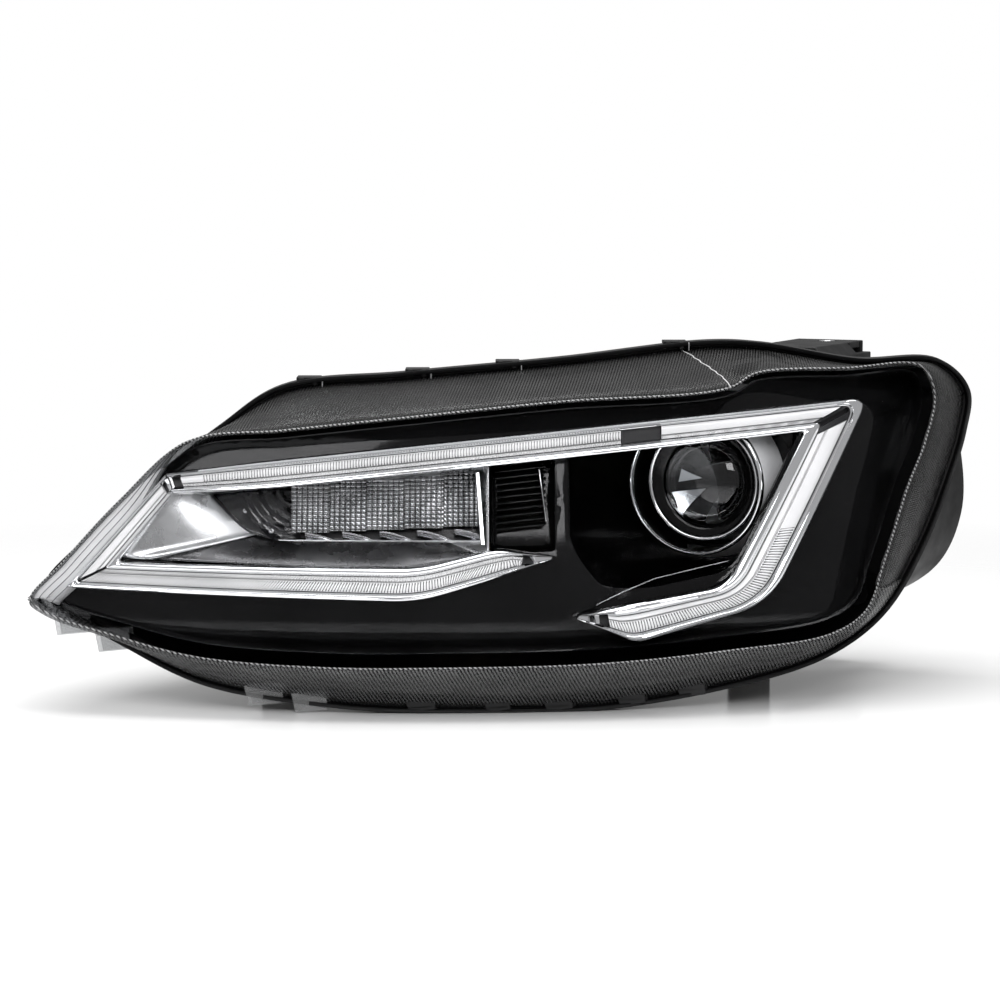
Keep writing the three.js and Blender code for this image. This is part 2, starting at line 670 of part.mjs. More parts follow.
function lensBarrel() {
  const shell = turned([
    [GLASS_RADIUS + GAP, BARREL_FRONT_Y], [39.5, BARREL_FRONT_Y], [41, -40], [41, BARREL_BACK_Y],
    [38.5, BARREL_BACK_Y], [38.5, -40], [28, GLASS_EDGE_Y + 4 + GAP],
    [GLASS_RADIUS + GAP, GLASS_EDGE_Y + 4 + GAP],
  ], 36);
  const shaftHoles = barX(1.9, -50, 50, SHIELD_Y, SHIELD_SHAFT_Z, 12);
  const leverSlot = box(-5, 5, SHIELD_Y - 4, SHIELD_Y + 10, -50, -30);
  return cut(shell, shaftHoles, leverSlot);
}

// hinged mask that makes the low-beam cut-off, with a step in its top edge
function cutoffShield() {
  const shape = new THREE.Shape();
  shape.moveTo(-24, -20);
  shape.lineTo(24, -20);
  shape.lineTo(24, 1.5);
  shape.lineTo(4, 1.5);
  shape.lineTo(-1, -1.5);
  shape.lineTo(-24, -1.5);
  shape.closePath();
  const blade = new THREE.ExtrudeGeometry(shape, { depth: 1.5, bevelEnabled: false });
  const plate = solid(blade.translate(0, 0, -0.75).rotateX(Math.PI / 2));
  const barrel = cut(barX(3.4, -20, 20, 0, SHIELD_SHAFT_Z, 20), barX(1.8, -30, 30, 0, SHIELD_SHAFT_Z, 16));
  const web = box(-16, 16, -0.75, 0.75, -22.5, -19);
  const lever = box(-3, 3, -1, 1, SHIELD_SHAFT_Z - LEVER_LENGTH - 3, SHIELD_SHAFT_Z - 2.5);
  return join(plate, barrel, web, lever).translate(0, 0, -SHIELD_SHAFT_Z);
}

// solenoid ahead of the lever: its plunger pushes the lever rearwards
function solenoidBody() {
  const coil = barY(8.5, -46, -29, 0, 0, 24);
  const plate = box(-10, 10, -29.5, -27.5, -9.5, 9.5);
  const bore = barY(2.9, -44, -20, 0, 0, 16);
  return cut(join(coil, plate), bore);
}

function solenoidPlunger() {
  return join(barY(2.4, -43, -24, 0, 0, 16), barY(4, -25, -23.3, 0, 0, 20));
}

// half-ellipsoid bowl with a mouth flange and a neck for the bulb
function projectorReflector() {
  const [length, radius, wall] = [54, 36, 2];
  const outside = [];
  const inside = [];
  for (let i = 0; i <= 6; i += 1) {
    const angle = (i / 6) * 1.32;
    outside.push([(radius + wall) * Math.cos(angle), (length + wall) * Math.sin(angle)]);
    inside.unshift([radius * Math.cos(angle), length * Math.sin(angle)]);
  }
  const mouth = [[radius, -6], [43, -6], [43, -3], [radius + wall, -3]];
  const neckRadius = inside[0][0];
  const flange = [[14, 54.5], [14, 57], [neckRadius, 57]];
  return turned([...mouth, ...outside, ...flange, ...inside], 28);
}

function carrierRing() {
  const band = turned([[43.4, -6.5], [48.5, -6.5], [48.5, 6], [43.4, 6]], 36);
  const shelf = turned([[41.4, -9.6], [45, -9.6], [45, -6.4], [41.4, -6.4]], 36);
  const [dx, dz] = [PUSHROD.x - AXIS_X, PUSHROD.z - AXIS_Z];
  const arm = box(dx - 8, dx + 8, 10, 21, dz - 8, -38);
  const bridge = box(dx - 8, dx + 8, 4, 21, -46, -34);
  const socket = barY(5.4, 0, 30, dx, dz, 20);
  const clear = barY(43.4, -3, 30, 0, 0, 48);
  const pinHoles = barX(PIN_RADIUS + GAP, -60, 60, 0, 0, 20);
  return cut(join(band, shelf, cut(join(arm, bridge), clear)), socket, pinHoles);
}

function aimingFrame() {
  const [outer, inner] = [FRAME_HALF, FRAME_HALF - 6];
  const frame = cut(box(-outer, outer, -5, 5, -outer, outer), box(-inner, inner, -6, 6, -inner, inner));
  const pitchHoles = barX(PIN_RADIUS + 0.4, -60, 60, 0, 0, 20);
  const yawHoles = barZ(PIN_RADIUS + GAP, -60, 60, 0, 0, 20);
  return cut(frame, pitchHoles, yawHoles);
}

function adjusterNut() {
  const [dx, dz] = [SIDE_SCREW.x - AXIS_X, SIDE_SCREW.z - AXIS_Z];
  return cut(
    box(FRAME_HALF + GAP, dx + 7, -6, 6, dz - 6, dz + 6),
    barY(PIN_RADIUS + 0.7, -10, 10, dx, dz, 20),
  );
}

// bracket from the rear wall to a yaw pin, with its end cut to the swept wall
function yawBracket(side) {
  const [near, far] = [FRAME_HALF + 1, FRAME_HALF + 6];
  const [z0, z1] = side > 0 ? [near, far] : [-far, -near];
  const plate = box(-10, 10, -7, 80, z0, z1);
  const foot = box(-14, 9, 36, 80, ...(side > 0 ? [z0 - 9, z1] : [z0, z1 + 9]));
  const wall = box(-300, 600, REAR_DEPTH - HOUSING_WALL - GAP, 500, -300, 500)
    .rotate(0, 0, THREE.MathUtils.radToDeg(SWEEP)).translate(-AXIS_X, -PIVOT_Y, 0);
  return cut(join(plate, foot), barZ(PIN_RADIUS + 0.4, -80, 80, 0, 0, 20), wall);
}

// bulb: glass envelope, metal base with three keys, plug behind
function bulbGlass() {
  return turned([
    [0, 22], [2, 22.6], [4.5, 25], [6, 28], [6, 50], [7, 54], [7, 60], [0, 60],
  ], 20);
}

function bulbBase() {
  const body = turned([[0, 60.3], [8, 60.3], [8, 58], [13.5, 58], [13.5, 61.5], [9, 61.5],
    [9, 68], [0, 68]], 32);
  const keys = [0, 1, 2].map((i) => box(-2, 2, 58.4, 61, 12, 15.5).rotate(0, i * 120, 0));
  return join(body, ...keys);
}

function bulbPlug() {
  const body = box(-9, 9, 68.3, 92, -8, 8);
  const grip = box(-11, 11, 72, 80, -3, 3);
  const strain = barY(4.5, 91, 98, 0, 0, 16);
  return join(body, grip, strain);
}

// ---------------------------------------------------------------- aiming drives

// motor at the rear; collar reaches in through the wall, the pushrod slides in it
const MOTOR_FRONT_Y = 321;
const MOTOR_BACK_Y = 356;
const PUSHROD_BALL_Y = 250;

function levellingMotor() {
  const [x, z] = [PUSHROD.x, PUSHROD.z];
  const body = box(x - 25, x + 25, MOTOR_FRONT_Y, MOTOR_BACK_Y, z - 41, z + 11);
  const lug = box(x - 30, x - 24, MOTOR_FRONT_Y, MOTOR_FRONT_Y + 4, z - 30, z - 10);
  const collar = barY(11, MOTOR_FRONT_Y - 35, MOTOR_FRONT_Y + 1, x, z, 32);
  const bore = barY(PIN_RADIUS + 2 * GAP, MOTOR_FRONT_Y - 40, MOTOR_BACK_Y - 16, x, z, 20);
  return cut(join(body, lug, collar), bore);
}

function pushrod() {
  const ball = solid(new THREE.SphereGeometry(4, 14, 8).translate(0, PUSHROD_BALL_Y, 0));
  return join(ball, barY(PIN_RADIUS, PUSHROD_BALL_Y + 2, MOTOR_BACK_Y - 26, 0, 0, 20));
}

function adjusterScrew(front, back) {
  const head = cut(
    barY(6.5, back - 6, back, 0, 0, 12),
    box(-0.8, 0.8, back - 2, back + 1, -4, 4), box(-4, 4, back - 2, back + 1, -0.8, 0.8),
  );
  return join(barY(PIN_RADIUS, front, back - 5, 0, 0, 20), head);
}

// ---------------------------------------------------------------- bulb cap

const CAP_INNER = PORT_RADIUS + 0.8;
const CAP_RADIUS = 50;
const CAP_RIM_Y = 326;
const SEAL_BACK_Y = PORT_END_Y + GAP + 2;
const CAP_FLOOR_Y = SEAL_BACK_Y + GAP;
const CAP_BACK_Y = CAP_FLOOR_Y + 3;

// twist cap: a cup over the port, a grip bar across its back, six lugs round its skirt
function bulbCap() {
  const shell = turned([
    [0, CAP_FLOOR_Y], [CAP_INNER, CAP_FLOOR_Y], [CAP_INNER, CAP_RIM_Y], [CAP_RADIUS, CAP_RIM_Y],
    [CAP_RADIUS, CAP_BACK_Y - 1.6], [CAP_RADIUS - 1.5, CAP_BACK_Y], [0, CAP_BACK_Y],
  ], 36);
  const grip = box(-34, 34, CAP_BACK_Y - 0.6, 356, -3.5, 3.5);
  const lugs = [0, 1, 2, 3, 4, 5].map((i) => box(
    -3, 3, CAP_RIM_Y + 1, CAP_RIM_Y + 16, CAP_RADIUS - 1, CAP_RADIUS + 2,
  ).rotate(0, i * 60 + 30, 0));
  return join(shell, grip, ...lugs);
}

function bulbCapSeal() {
  const [front, inner] = [PORT_END_Y + GAP, PORT_RADIUS - HOUSING_WALL];
  return turned([
    [inner, front], [PORT_RADIUS, front], [PORT_RADIUS, SEAL_BACK_Y], [inner, SEAL_BACK_Y],
  ], 36);
}

// ---------------------------------------------------------------- rear wall fittings, face axes

const ON_WALL = REAR_DEPTH + GAP;

function ventCap() {
  return turned([
    [0, REAR_DEPTH - 8], [VENT_RADIUS - GAP, REAR_DEPTH - 8], [VENT_RADIUS - GAP, ON_WALL],
    [13, ON_WALL], [13, ON_WALL + 6], [10, ON_WALL + 9], [0, ON_WALL + 9],
  ], 20);
}

const CONNECTOR_FRONT = REAR_DEPTH - 8;
const SHROUD_WALL = 3;
const FLANGE_END_U = 20;
const PIN_ROWS = [73, 83]; // z of the two rows of blades
const PIN_PITCH = 6;

function mainConnector() {
  const sleeve = (inset, w0, w1) => box(
    CONNECTOR.u0 + inset, CONNECTOR.u1 - inset, w0, w1, CONNECTOR.z0 + inset, CONNECTOR.z1 - inset,
  );
  const flange = box(-50, FLANGE_END_U, ON_WALL, ON_WALL + 3, 54, 102);
  const shroud = sleeve(GAP, CONNECTOR_FRONT, ON_WALL + 24);
  const socket = sleeve(SHROUD_WALL, ON_WALL + 4, ON_WALL + 30);
  const carrierHole = sleeve(SHROUD_WALL + 2, CONNECTOR_FRONT - 4, ON_WALL + 5);
  return cut(join(flange, shroud), socket, carrierHole);
}

// contact block: two rows of blades on one carrier
function connectorPins() {
  const edge = SHROUD_WALL + 2 + GAP;
  const carrier = box(
    CONNECTOR.u0 + edge, CONNECTOR.u1 - edge, CONNECTOR_FRONT + 1, ON_WALL + 3,
    CONNECTOR.z0 + edge, CONNECTOR.z1 - edge,
  );
  const blades = [];
  for (let i = -3; i <= 3; i += 1) {
    const u = (CONNECTOR.u0 + CONNECTOR.u1) / 2 + i * PIN_PITCH;
    PIN_ROWS.forEach((z) => blades.push(
      box(u - 0.8, u + 0.8, ON_WALL + 2, ON_WALL + 16, z - 1.2, z + 1.2),
    ));
  }
  return join(carrier, ...blades);
}

const DRIVER = { u0: -180, u1: -84, z0: 62, z1: 128 };

function driverCase() {
  const { u0, u1, z0, z1 } = DRIVER;
  const body = box(u0, u1, ON_WALL, ON_WALL + 14, z0, z1);
  const inlet = box(u1 - 1, u1 + 12, ON_WALL + 2, ON_WALL + 12, 84, 106);
  const holes = driverScrewPlaces().map(([u, z]) => barY(2.3, REAR_DEPTH - 10, 300, u, z, 16));
  return cut(join(body, inlet), ...holes);
}

function driverScrewPlaces() {
  const { u0, u1, z0, z1 } = DRIVER;
  return [[u0 + 6, z0 + 6], [u1 - 6, z0 + 6], [u0 + 6, z1 - 6], [u1 - 6, z1 - 6]];
}

function driverHeatsink() {
  const { u0, u1, z0, z1 } = DRIVER;
  const base = ON_WALL + 14 + GAP;
  const plate = box(u0 + 12, u1 - 12, base, base + 3, z0, z1);
  const fins = [];
  for (let z = z0 + 1; z < z1; z += 8) fins.push(box(u0 + 12, u1 - 12, base + 2, base + 14, z, z + 2));
  return join(plate, ...fins);
}

function screw(length) {
  const head = cut(
    turned([[0, 0], [4, 0], [4, 2], [3, 3], [0, 3]], 12),
    box(-0.5, 0.5, 1.6, 4, -2.6, 2.6), box(-2.6, 2.6, 1.6, 4, -0.5, 0.5),
  );
  return join(head, barY(2, -length, 0.5, 0, 0, 10));
}

// wiring from the driver to the connector, clipped along the rear wall
function wiringLoom() {
  const route = new THREE.CatmullRomCurve3([
    [DRIVER.u1 + 12 + GAP, 246, 95], [-64, 246, 95], [-58, 245.4, 108], [-40, 245, 117], [-10, 245, 117],
    [20, 245, 112], [30, 245, 98], [30, 244.5, 84], [FLANGE_END_U + GAP + 4, 242.5, 78],
  ].map((point) => new THREE.Vector3(...point)));
  const section = new THREE.Shape().absarc(0, 0, 3.4, 0, Math.PI * 2);
  return solid(new THREE.ExtrudeGeometry(section, { steps: 30, extrudePath: route, curveSegments: 4 }));
}

function bushing(length) {
  return turned([[3.3, 0], [BUSHING_RADIUS, 0], [BUSHING_RADIUS, length], [3.3, length]], 16)
    .rotate(90, 0, 0);
}

// ---------------------------------------------------------------- assembly

add(face, 'outer_lens', outerLens(), clearPlastic);
add(face, 'lens_gasket', lensGasket(), rubber);
add(face, 'housing', housing(), housingBlack);
add(face, 'bezel_mask', bezelMask(), glossBlack);
add(face, 'upper_trim', trim(UPPER_TRIM, UPPER_SLOT, HOOK_SLOT), chromePlate);
add(face, 'lower_trim', trim(LOWER_TRIM, LOWER_SLOT, LEFT_SLOT), chromePlate);
add(face, 'light_guide_upper', guide(UPPER_SLOT), fluteClear);
add(face, 'light_guide_hook', guide(HOOK_SLOT), fluteClear);
add(face, 'light_guide_lower', guide(LOWER_SLOT), fluteClear);
add(face, 'light_guide_left', guide(LEFT_SLOT), fluteClear);
add(face, 'led_board_outer', boardLayer([
  [206, 168, 2], [224, 166, 2], [236, 198, 2], [208, 198, 2],
]), board);
add(face, 'led_board_inner', boardLayer([
  [-268, 86, 2], [-238, 84, 2], [-238, 94, 2], [-256, 97, 2], [-254, 102, 2], [-237.5, 123, 2],
  [-243, 129, 2],
]), board);
add(face, 'reflector_tray', reflectorTray(), chromePlate);
add(face, 'turn_signal_lens', signalLens(), fluteClear);
add(face, 'turn_signal_reflector', signalReflector(), chromePlate);
add(face, 'turn_signal_board', signalBoard(), board);
add(face, 'turn_signal_heatsink', signalHeatsink(), aluminium);
add(face, 'vane_panel', vanePanel(), satinBlack);
add(face, 'projector_well', projectorWell(), glossBlack);

VENTS.forEach(([u, z], i) => add(face, `vent_cap_${i + 1}`, ventCap(), rubber, [u, 0, z]));
add(face, 'main_connector', mainConnector(), satinBlack);
add(face, 'connector_pins', connectorPins(), brass);
add(face, 'driver_case', driverCase(), satinBlack);
add(face, 'driver_heatsink', driverHeatsink(), aluminium);
driverScrewPlaces().forEach(([u, z], i) => add(
  face, `driver_screw_${i + 1}`, screw(10), steel, [u, ON_WALL + 14 + GAP, z],
));
add(face, 'wiring_loom', wiringLoom(), rubber);
Object.entries(TABS).forEach(([name, [u, w, z]]) => add(
  face, `bushing_${name}`, bushing(5), steel, [u, w, z],
));

// projector and its gimbal, about the point where the two aiming axes cross
const gimbal = new THREE.Group();
gimbal.position.set(AXIS_X, PIVOT_Y, AXIS_Z);
vehicle.add(gimbal);
add(gimbal, 'projector_sleeve', projectorSleeve(), chromePlate);
add(gimbal, 'projector_lens', projectorLens(), opticalGlass);
add(gimbal, 'lens_retainer', lensRetainer(), chromePlate);
add(gimbal, 'lens_barrel', lensBarrel(), aluminium);
add(gimbal, 'cutoff_shield', cutoffShield(), steel, [0, SHIELD_Y, SHIELD_SHAFT_Z]);
add(gimbal, 'shield_shaft', barX(1.5, -32, 32, 0, 0, 16), steel, [0, SHIELD_Y, SHIELD_SHAFT_Z]);
const solenoidAxis = [0, 0, SHIELD_SHAFT_Z - LEVER_LENGTH];
add(gimbal, 'solenoid_body', solenoidBody(), satinBlack, solenoidAxis);
add(gimbal, 'solenoid_plunger', solenoidPlunger(), steel, solenoidAxis);
add(gimbal, 'projector_reflector', projectorReflector(), aluminium);
add(gimbal, 'carrier_ring', carrierRing(), aluminium);
add(gimbal, 'aiming_frame', aimingFrame(), satinBlack);
add(gimbal, 'adjuster_nut', adjusterNut(), satinBlack);
add(gimbal, 'yaw_bracket_upper', yawBracket(1), steel);
add(gimbal, 'yaw_bracket_lower', yawBracket(-1), steel);
[-1, 1].forEach((side) => {
  const name = side > 0 ? 'outer' : 'inner';
  add(gimbal, `pitch_pin_${name}`, barX(PIN_RADIUS, 44, 55, 0, 0, 20).scale([side, 1, 1]), steel);
  const level = side > 0 ? 'upper' : 'lower';
  add(gimbal, `yaw_pin_${level}`, barZ(PIN_RADIUS, 50.5, 61.5).scale([1, 1, side]), steel);
});
add(gimbal, 'bulb_glass', bulbGlass(), opticalGlass);
add(gimbal, 'bulb_base', bulbBase(), steel);
add(gimbal, 'bulb_plug', bulbPlug(), satinBlack);

add(vehicle, 'levelling_motor', levellingMotor(), satinBlack);
add(vehicle, 'levelling_pushrod', pushrod(), satinBlack, [PUSHROD.x, 0, PUSHROD.z]);
add(
  vehicle, 'side_adjuster_screw', adjusterScrew(222, 352), satinBlack,
  [SIDE_SCREW.x, 0, SIDE_SCREW.z],
);
add(
  vehicle, 'height_adjuster_screw', adjusterScrew(305, 356), satinBlack,
  [HEIGHT_SCREW.x, 0, HEIGHT_SCREW.z],
);
add(vehicle, 'bulb_cap', bulbCap(), satinBlack, [AXIS_X, 0, AXIS_Z]);
add(vehicle, 'bulb_cap_seal', bulbCapSeal(), rubber, [AXIS_X, 0, AXIS_Z]);
add(
  vehicle, 'bushing_arm', bushing(ARM.z1 - ARM.z0), steel,
  [(ARM.x0 + ARM.x1) / 2, ARM.boltY, ARM.z0],
);

// stands on z = 0 with the middle of its bounding box over the origin
headlight.updateMatrixWorld(true);
const bounds = new THREE.Box3().setFromObject(headlight, true);
const middle = bounds.getCenter(new THREE.Vector3());
headlight.position.set(-middle.x, -middle.y, -bounds.min.z);

export default headlight;
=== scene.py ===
import json
import math

import bmesh
import bpy
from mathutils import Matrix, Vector
from mathutils.geometry import delaunay_2d_cdt


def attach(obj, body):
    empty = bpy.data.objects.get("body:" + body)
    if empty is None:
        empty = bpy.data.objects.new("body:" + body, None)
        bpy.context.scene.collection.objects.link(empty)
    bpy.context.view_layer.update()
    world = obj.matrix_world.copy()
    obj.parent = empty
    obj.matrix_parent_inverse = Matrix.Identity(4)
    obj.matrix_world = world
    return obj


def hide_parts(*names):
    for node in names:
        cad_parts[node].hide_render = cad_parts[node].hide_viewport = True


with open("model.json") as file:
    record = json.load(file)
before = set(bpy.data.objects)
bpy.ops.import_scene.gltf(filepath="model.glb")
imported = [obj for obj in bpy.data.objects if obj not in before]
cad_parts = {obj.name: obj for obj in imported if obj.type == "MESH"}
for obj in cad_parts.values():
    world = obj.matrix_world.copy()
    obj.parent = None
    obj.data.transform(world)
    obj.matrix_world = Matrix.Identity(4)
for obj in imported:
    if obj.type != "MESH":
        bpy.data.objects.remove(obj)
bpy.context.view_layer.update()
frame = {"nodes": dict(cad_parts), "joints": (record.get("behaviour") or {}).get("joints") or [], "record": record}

# ------------------------------------------------------------------ driving dimensions

MM = 0.001
SWEEP = math.radians(25)
AXIS_X, PIVOT_Y, AXIS_Z = 75, 235, 145
WELL_FLOOR_Y = 180
SLEEVE_FRONT_Y = 147
SLEEVE_RADIUS = 47.5
REAR_DEPTH = 238
BASE_Z = 1.2
TRIM_BACK = 21.7
BEZEL_FRONT = 22
BEZEL_INSET = 7.5
SIGNAL_DEPTH = 41
PORT_RADIUS = 46
PORT_END_Y = 340
ARM = {"x0": 62, "x1": 118, "y0": 285, "y1": 382, "z0": 209, "z1": 230, "bolt_y": 366}
ARM_BEVEL = 8
TABS = [(-128, 252, 186), (-20, 252, 47)]
FEET = [(-150, 165), (175, 205)]
FLUTE_PITCH = 1.85
BOLT_HOLE = 6.4

# perimeter stations: lens crease u, z, lens foot u, z, rear wall u, z
STATIONS = [
    (-308, 75, -300, 77, -202, 92),
    (-298, 67, -289, 65, -200, 72),
    (-250, 53, -252, 47, -186, 52),
    (-197, 41, -195, 22, -160, 38),
    (-113, 35.5, -113, 9, -105, 30),
    (-30, 35.5, -40, 5, -35, 28),
    (67, 37, 62, 5.5, 60, 28),
    (150, 43, 150, 17, 140, 32),
    (220, 51, 218, 34, 205, 38),
    (243, 65, 257, 58, 264, 48),
    (256, 97, 286, 97, 310, 74),
    (273, 143, 308, 143, 327, 112),
    (287, 173, 320, 174, 326, 155),
    (295, 203, 324, 199, 316, 190),
    (286, 222, 305, 218, 286, 209),
    (232, 223, 245, 221, 230, 214),
    (170, 221.5, 178, 233, 172, 218),
    (150, 212, 140, 235, 125, 219),
    (39, 205, 40, 225, 35, 212),
    (-65, 195, -63, 216, -55, 203),
    (-140, 187, -145, 207, -125, 194),
    (-204, 179, -185, 181, -160, 178),
    (-248, 141, -236, 141, -186, 146),
    (-287, 99, -278, 103, -199, 116),
]

# chrome bands: outer u, z, cut-back, inner u, z, cut-back
UPPER_BAND = [
    (-218.4, 157.0, 0, -213.4, 144.6, 0),
    (-158, 165, 25, -157, 147.5, 25),
    (-52, 176.5, 60, -52, 158.5, 60),
    (106, 191.5, 60, 106, 173.5, 60),
    (248, 202.5, 14, 203, 181.5, 3),
    (177, 71, 23, 149, 83.5, 13),
    (89, 48.5, 6, 82, 73, 8),
    (50, 65, 0, 52, 67.5, 0),
]
LOWER_BAND = [
    (-219.2, 156.2, 0, -213.8, 143.6, 0),
    (-286, 82, 2, -250, 99.5, 4),
    (-53, 76.8, 18, -52, 98.3, 14),
    (-8, 90, 20, -2, 110.5, 8),
    (33, 103.5, 0, 34, 105.5, 0),
]
GROOVE = (0.21, 0.74)

ROOT = next(
    Vector(joint["pos_m"]) for joint in frame["joints"] if joint["name"] == "aim_yaw"
) - Vector((AXIS_X, PIVOT_Y, AXIS_Z)) * MM


def car(x, y, z):
    """Point given in vehicle axes, in millimetres."""
    return ROOT + Vector((x, y, z)) * MM


def face(u, w, z):
    """Point given in face axes, in millimetres."""
    x = u * math.cos(SWEEP) - w * math.sin(SWEEP)
    y = u * math.sin(SWEEP) + w * math.cos(SWEEP)
    return car(x, y, z)


def lens_depth(u, z):
    bow = (u + 57) ** 2 / (2 * 765)
    corner = max(u - 172, 0) ** 2 / (2 * 478)
    brow = max(z - 28, 0) ** 2 / (2 * 400)
    return bow + corner + brow


def foot_depth(u, z):
    return lens_depth(u, z) + 44 + 16 * min(max((z - 20) / 80, 0), 1)


def lift(point, offset):
    """Point of an outline, set behind the lens surface by an offset."""
    return face(point[0], lens_depth(point[0], point[1]) + offset, point[1])


def smooth(x, low=0.0, high=1.0):
    t = min(max((x - low) / (high - low), 0), 1)
    return t * t * (3 - 2 * t)


# ------------------------------------------------------------------ outlines


def spline(points, count):
    """Closed centripetal Catmull-Rom curve with count points per station."""
    result = []
    size = len(points)
    for i in range(size):
        p0, p1, p2, p3 = (points[(i + k) % size] for k in (-1, 0, 1, 2))
        d0, d1, d2 = (math.sqrt((a - b).length) for a, b in ((p0, p1), (p1, p2), (p2, p3)))
        out = ((p1 - p0) / d0 - (p2 - p0) / (d0 + d1) + (p2 - p1) / d1) * d1
        into = ((p2 - p1) / d1 - (p3 - p1) / (d1 + d2) + (p3 - p2) / d2) * d1
        for k in range(count):
            t = k / count
            cube = 2 * p1 - 2 * p2 + out + into
            square = -3 * p1 + 3 * p2 - 2 * out - into
            result.append(((cube * t + square) * t + out) * t + p1)
    return result


def grown(loop, distance):
    """Closed counter-clockwise loop with every point moved outwards."""
    result = []
    for i, point in enumerate(loop):
        before = (point - loop[i - 1]).normalized()
        after = (loop[(i + 1) % len(loop)] - point).normalized()
        mitre = Vector((before.y + after.y, -before.x - after.x))
        result.append(point + mitre * distance / (1 + before.dot(after)))
    return result


def perimeter(column, distance=0.0, count=10):
    loop = spline([Vector(row[column:column + 2]) for row in STATIONS], count)
    return grown(loop, distance)


def clean_inset(loop, distance):
    """Inset loop without the points that fold over in a tight corner."""
    def clearance(point):
        best = 1e9
        for i, a in enumerate(loop):
            b = loop[(i + 1) % len(loop)]
            span = b - a
            t = min(max((point - a).dot(span) / span.length_squared, 0), 1)
            best = min(best, (a + span * t - point).length)
        return best
    return [p for p in grown(loop, -distance) if clearance(p) > distance - 0.1]


def quadratic(curve, t):
    a, b, c = curve
    return a * (1 - t) ** 2 + b * 2 * t * (1 - t) + c * t * t


def rounded(corners, steps=6):
    """Closed polygon of (u, z, cut-back) with rounded corners."""
    points = [Vector(c[:2]) for c in corners]
    result = []
    for i, corner in enumerate(points):
        cut = corners[i][2]
        entry = corner + (points[i - 1] - corner).normalized() * cut
        leave = corner + (points[(i + 1) % len(points)] - corner).normalized() * cut
        count = steps if cut else 0
        result += [quadratic((entry, corner, leave), k / max(count, 1)) for k in range(count + 1)]
    return result


def rails(rows, step):
    """Matching points along the outer and inner edge of a band."""
    tracks = []
    for column in (0, 3):
        corners = [Vector(row[column:column + 2]) for row in rows]
        curves = []
        start = corners[0]
        for i in range(1, len(rows) - 1):
            cut = rows[i][column + 2]
            entry = corners[i] + (corners[i - 1] - corners[i]).normalized() * cut
            leave = corners[i] + (corners[i + 1] - corners[i]).normalized() * cut
            curves += [(start, (start + entry) / 2, entry), (entry, corners[i], leave)]
            start = leave
        curves.append((start, (start + corners[-1]) / 2, corners[-1]))
        tracks.append(curves)
    pairs = []
    for outer, inner in zip(*tracks):
        length = max((c[2] - c[0]).length for c in (outer, inner))
        count = max(2, math.ceil(length / step))
        pairs += [(quadratic(outer, k / count), quadratic(inner, k / count)) for k in range(count)]
    pairs.append((tracks[0][-1][2], tracks[1][-1][2]))
    return pairs


def stretch(rows, start, stop):
    """Part of a band between two fractional row numbers."""
    def at(x):
        i = min(int(x), len(rows) - 2)
        return tuple(a + (b - a) * (x - i) for a, b in zip(rows[i], rows[i + 1]))
    return [at(start), *rows[math.floor(start) + 1:math.ceil(stop)], at(stop)]


def inside(point, loop):
    found = False
    for i, a in enumerate(loop):
        b = loop[i - 1]
        if (a.y > point.y) != (b.y > point.y):
            if point.x < (b.x - a.x) * (point.y - a.y) / (b.y - a.y) + a.x:
                found = not found
    return found


# ------------------------------------------------------------------ materials

FINISH = {}


def node(tree, kind, inputs=None, **settings):
    """New shader node. Each input gets a value, or a socket that is linked to it."""
    made = tree.nodes.new("ShaderNode" + kind)
    for key, value in settings.items():
        setattr(made, key, value)
    for key, value in (inputs or {}).items():
        if isinstance(value, bpy.types.NodeSocket):
            tree.links.new(value, made.inputs[key])
        else:
            made.inputs[key].default_value = value
    return made


def shader_tree(name):
    """Empty node tree of a new material, which is kept under its name."""
    FINISH[name] = bpy.data.materials.new(name)
    FINISH[name].use_nodes = True
    FINISH[name].node_tree.nodes.clear()
    return FINISH[name].node_tree


def noise(tree, scale, detail=4.0):
    """Noise over the object's own coordinates."""
    place = node(tree, "TexCoord").outputs["Object"]
    return node(tree, "TexNoise", {"Vector": place, "Scale": scale, "Detail": detail}).outputs["Fac"]


def ramp(tree, source, low, high, start=0.3, end=0.7):
    """Source stretched between two grey values or colours."""
    made = node(tree, "ValToRGB", {"Fac": source})
    for element, place, value in zip(made.color_ramp.elements, (start, end), (low, high)):
        element.position = place
        element.color = (*value, 1) if isinstance(value, tuple) else (value, value, value, 1)
    return made.outputs["Color"]


def bump(tree, source, strength, distance):
    return node(tree, "Bump", {
        "Strength": strength, "Distance": distance * MM, "Height": source,
    }).outputs["Normal"]


def mixed(tree, share, first, second):
    """Goes from the first shader to the second as the share goes from 0 to 1."""
    return node(tree, "MixShader", {0: share, 1: first.outputs[0], 2: second.outputs[0]})


def surface(name, dark, light, rough, metallic=0.0, specular=0.5, grain=600.0, relief=0.02, cloud=18.0):
    """Solid material: clouded colour, uneven roughness and a fine grain in relief."""
    tree = shader_tree(name)
    body = node(tree, "BsdfPrincipled", {
        "Base Color": ramp(tree, noise(tree, cloud), dark, light),
        "Roughness": ramp(tree, noise(tree, cloud * 3.1), *rough),
        "Normal": bump(tree, noise(tree, grain, 2.0), 0.6, relief),
        "Metallic": metallic,
        "Specular IOR Level": specular,
    })
    node(tree, "OutputMaterial", {"Surface": body.outputs[0]})


def stripes(tree, pitch, direction):
    """Fine parallel bands, one per pitch in millimetres, across a direction."""
    across = Vector(direction).normalized() * (2 * math.pi / (pitch * MM))
    place = node(tree, "TexCoord").outputs["Object"]
    turned = node(tree, "VectorMath", {0: place, 1: across}, operation="DOT_PRODUCT").outputs["Value"]
    wave = node(tree, "Math", {0: turned}, operation="SINE").outputs[0]
    return node(tree, "Math", {0: wave, 1: 0.5, 2: 0.5}, operation="MULTIPLY_ADD").outputs[0]


